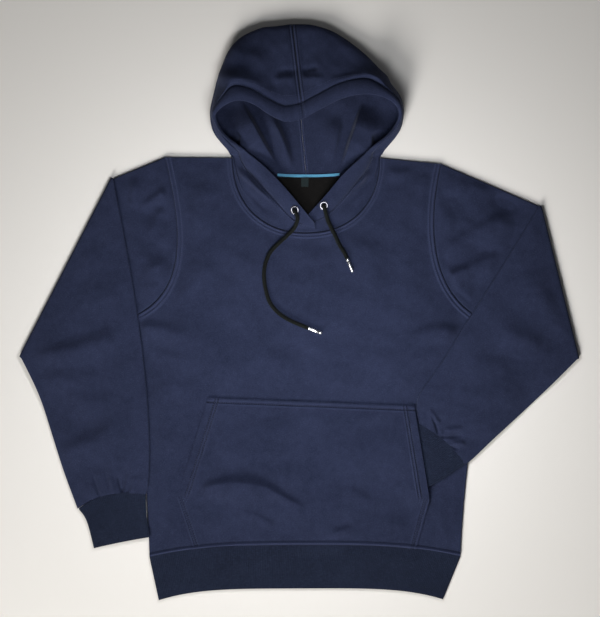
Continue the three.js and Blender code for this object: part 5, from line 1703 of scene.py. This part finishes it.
def stitchPlans():
    # Every row of stitches: the pieces that it lies on and its line in plan
    frontTree, pocketTree = treeOf(frontPiece), treeOf(pocketPiece)
    hoodTrees = {side: treeOf(hoodPieces[side]) for side in ("right", "left")}
    rows = []
    lowers = [lowerOutlines["right"], lowerOutlines["left"]]
    for side, inward in (("right", -1), ("left", 1)):
        for distance in (1.8, 8):
            line = offsetLine(armholes[side][0][4:-4], inward * distance)
            rows.append((frontTree, uncovered(line, lowers), 300.0))
    neckLine = neckPoint(np.linspace(0.02, 0.98, 120), neck["frontDepth"])
    for distance in (1.8, 6):
        rows.append((frontTree, offsetLine(neckLine, -distance), 300.0))
    hemLine = archPoint(hem["seam"], np.linspace(0.005, 0.995, 120)) + np.array([0, 3.0])
    beside = hemLine[np.abs(depthInside(pocketOutline, hemLine - np.array([0, 2.0]))) > -1]
    outsidePocket = [hemLine[hemLine[:, 0] < pocket["right"][0][0] - 3],
                     hemLine[hemLine[:, 0] > pocket["left"][0][0] + 3]]
    onPocket = beside[(beside[:, 0] > pocket["right"][0][0] + 2) & (beside[:, 0] < pocket["left"][0][0] - 2)]
    rows += [(frontTree, line, 300.0) for line in outsidePocket] + [(pocketTree, onPocket, 300.0)]
    top = np.array([pocket["right"][2], pocket["left"][2]], float)
    for distance in pocketGrid["topStitches"]:
        rows.append((pocketTree, offsetLine(even(top), -distance)[1:-1], 300.0))
    for side, inward in (("right", -1), ("left", 1)):
        low, foot, high = (np.array(p, float) for p in pocket[side])
        for distance in pocketGrid["openingStitches"]:
            rows.append((pocketTree, offsetLine(even(np.array([foot, high])), inward * distance)[:-1],
                         300.0))
        for distance in pocketGrid["lowerStitches"]:
            rows.append((pocketTree, offsetLine(even(np.array([low, foot])), inward * distance)[1:-1],
                         300.0))
    for side in ("right", "left"):
        tree = hoodTrees[side]
        beside = -1 if side == "right" else 1
        for column in (0.5, 0.62):
            rows.append((tree, hoodLine(side, column, np.linspace(0.4, lastFront, 40)), 300.0))
            rows.append((tree, hoodLine(side, column, np.linspace(9.4, lastRow - 0.05, 60)), 300.0))
        crown = np.array([hoodPoint(side, lastRow, column)[:2] for column in np.linspace(0.05, 1.7, 30)])
        rows.append((tree, crown + np.array([beside * 3.2, 0]), 300.0))
        under = np.array([hoodPoint(side, lastRow, column)[:2] for column in np.linspace(3.2, 3.97, 30)])
        rows.append((tree, under + np.array([beside * 3.2, 0]), 11.0))
    return rows


stitchRuns, stitchUps = [], []
for tree, plan, fromHeight in stitchPlans():
    if len(plan) > 2:
        runs, ups = seated(tree, plan, fromHeight)
        stitchRuns += runs
        stitchUps += ups
stitchMesh = grown("seam_stitches", linesMesh("seam_stitches", stitchRuns, stitchUps), stitchTree,
                   stitchSockets,
                   {"Pitch": stitch["pitch"] * mm, "Size": [s * mm for s in stitch["size"]],
                    "Material": materials["thread"]})
stitchPiece = linked("seam_stitches", stitchMesh)

for node, material in (("neck_tape", "tape"), ("neck_patch", "patch"), ("size_label", "label")):
    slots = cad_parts[node].data.materials
    slots.clear()
    slots.append(materials[material])

cuts = {
    "front_panel": {"piece": frontPiece, "flat": (0.54, 0.61), "area": 0.237, "slot": "fleece",
                    "on": ["back_panel_cloth"]},
    "back_panel": {"piece": backPiece, "flat": (0.54, 0.61), "area": 0.262, "slot": "fleece",
                   "on": ["floor"]},
    "pocket": {"piece": pocketPiece, "flat": (0.38, 0.23), "area": 0.077, "slot": "fleece",
               "on": ["front_panel_cloth"]},
    "hem_band": {"piece": bands["hem_band"][0], "flat": (0.93, 0.065), "area": 0.058, "slot": "rib",
                 "on": ["floor"]},
}
for side in ("right", "left"):
    cuts[f"sleeve_{side}"] = {"piece": sleevePieces[side], "flat": (0.56, 0.62), "area": 0.21,
                              "slot": "fleece",
                              "on": ["front_panel_cloth"], "held": "folded"}
    cuts[f"cuff_{side}"] = {"piece": bands[f"cuff_{side}"][0], "flat": (0.2, 0.065), "area": 0.0125,
                            "slot": "rib",
                            "on": ["front_panel_cloth"]}
    cuts[f"hood_{side}"] = {"piece": hoodPieces[side], "flat": (0.3, 0.36), "area": 0.054, "slot": "fleece",
                            "on": ["floor"], "held": "folded"}
for _, ribPiece in bands.values():
    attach(ribPiece, "root")
for node, facts in cuts.items():
    halfArea = sum(polygon.area for polygon in facts["piece"].data.polygons) / 2
    print(f"{node}: {halfArea:.4f} square metres of cloth, {facts['area']} in its cut")
    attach(facts["piece"], "root")
    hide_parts(node)
    facts.get("held", "laid")
    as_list(facts["on"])
for side in ("right", "left"):
    for made, node, slot in ((eyeletPieces[side], "eyelet", "metal"), (tipPieces[side], "tip", "metal"),
                             (cordPieces[side], "drawcord", "cord")):
        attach(made, "root")
        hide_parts(f"{node}_{side}")
    [tuple(p * mm) for p in cordPaths[side][::3]]
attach(stitchPiece, "root")

print("stage: finish")
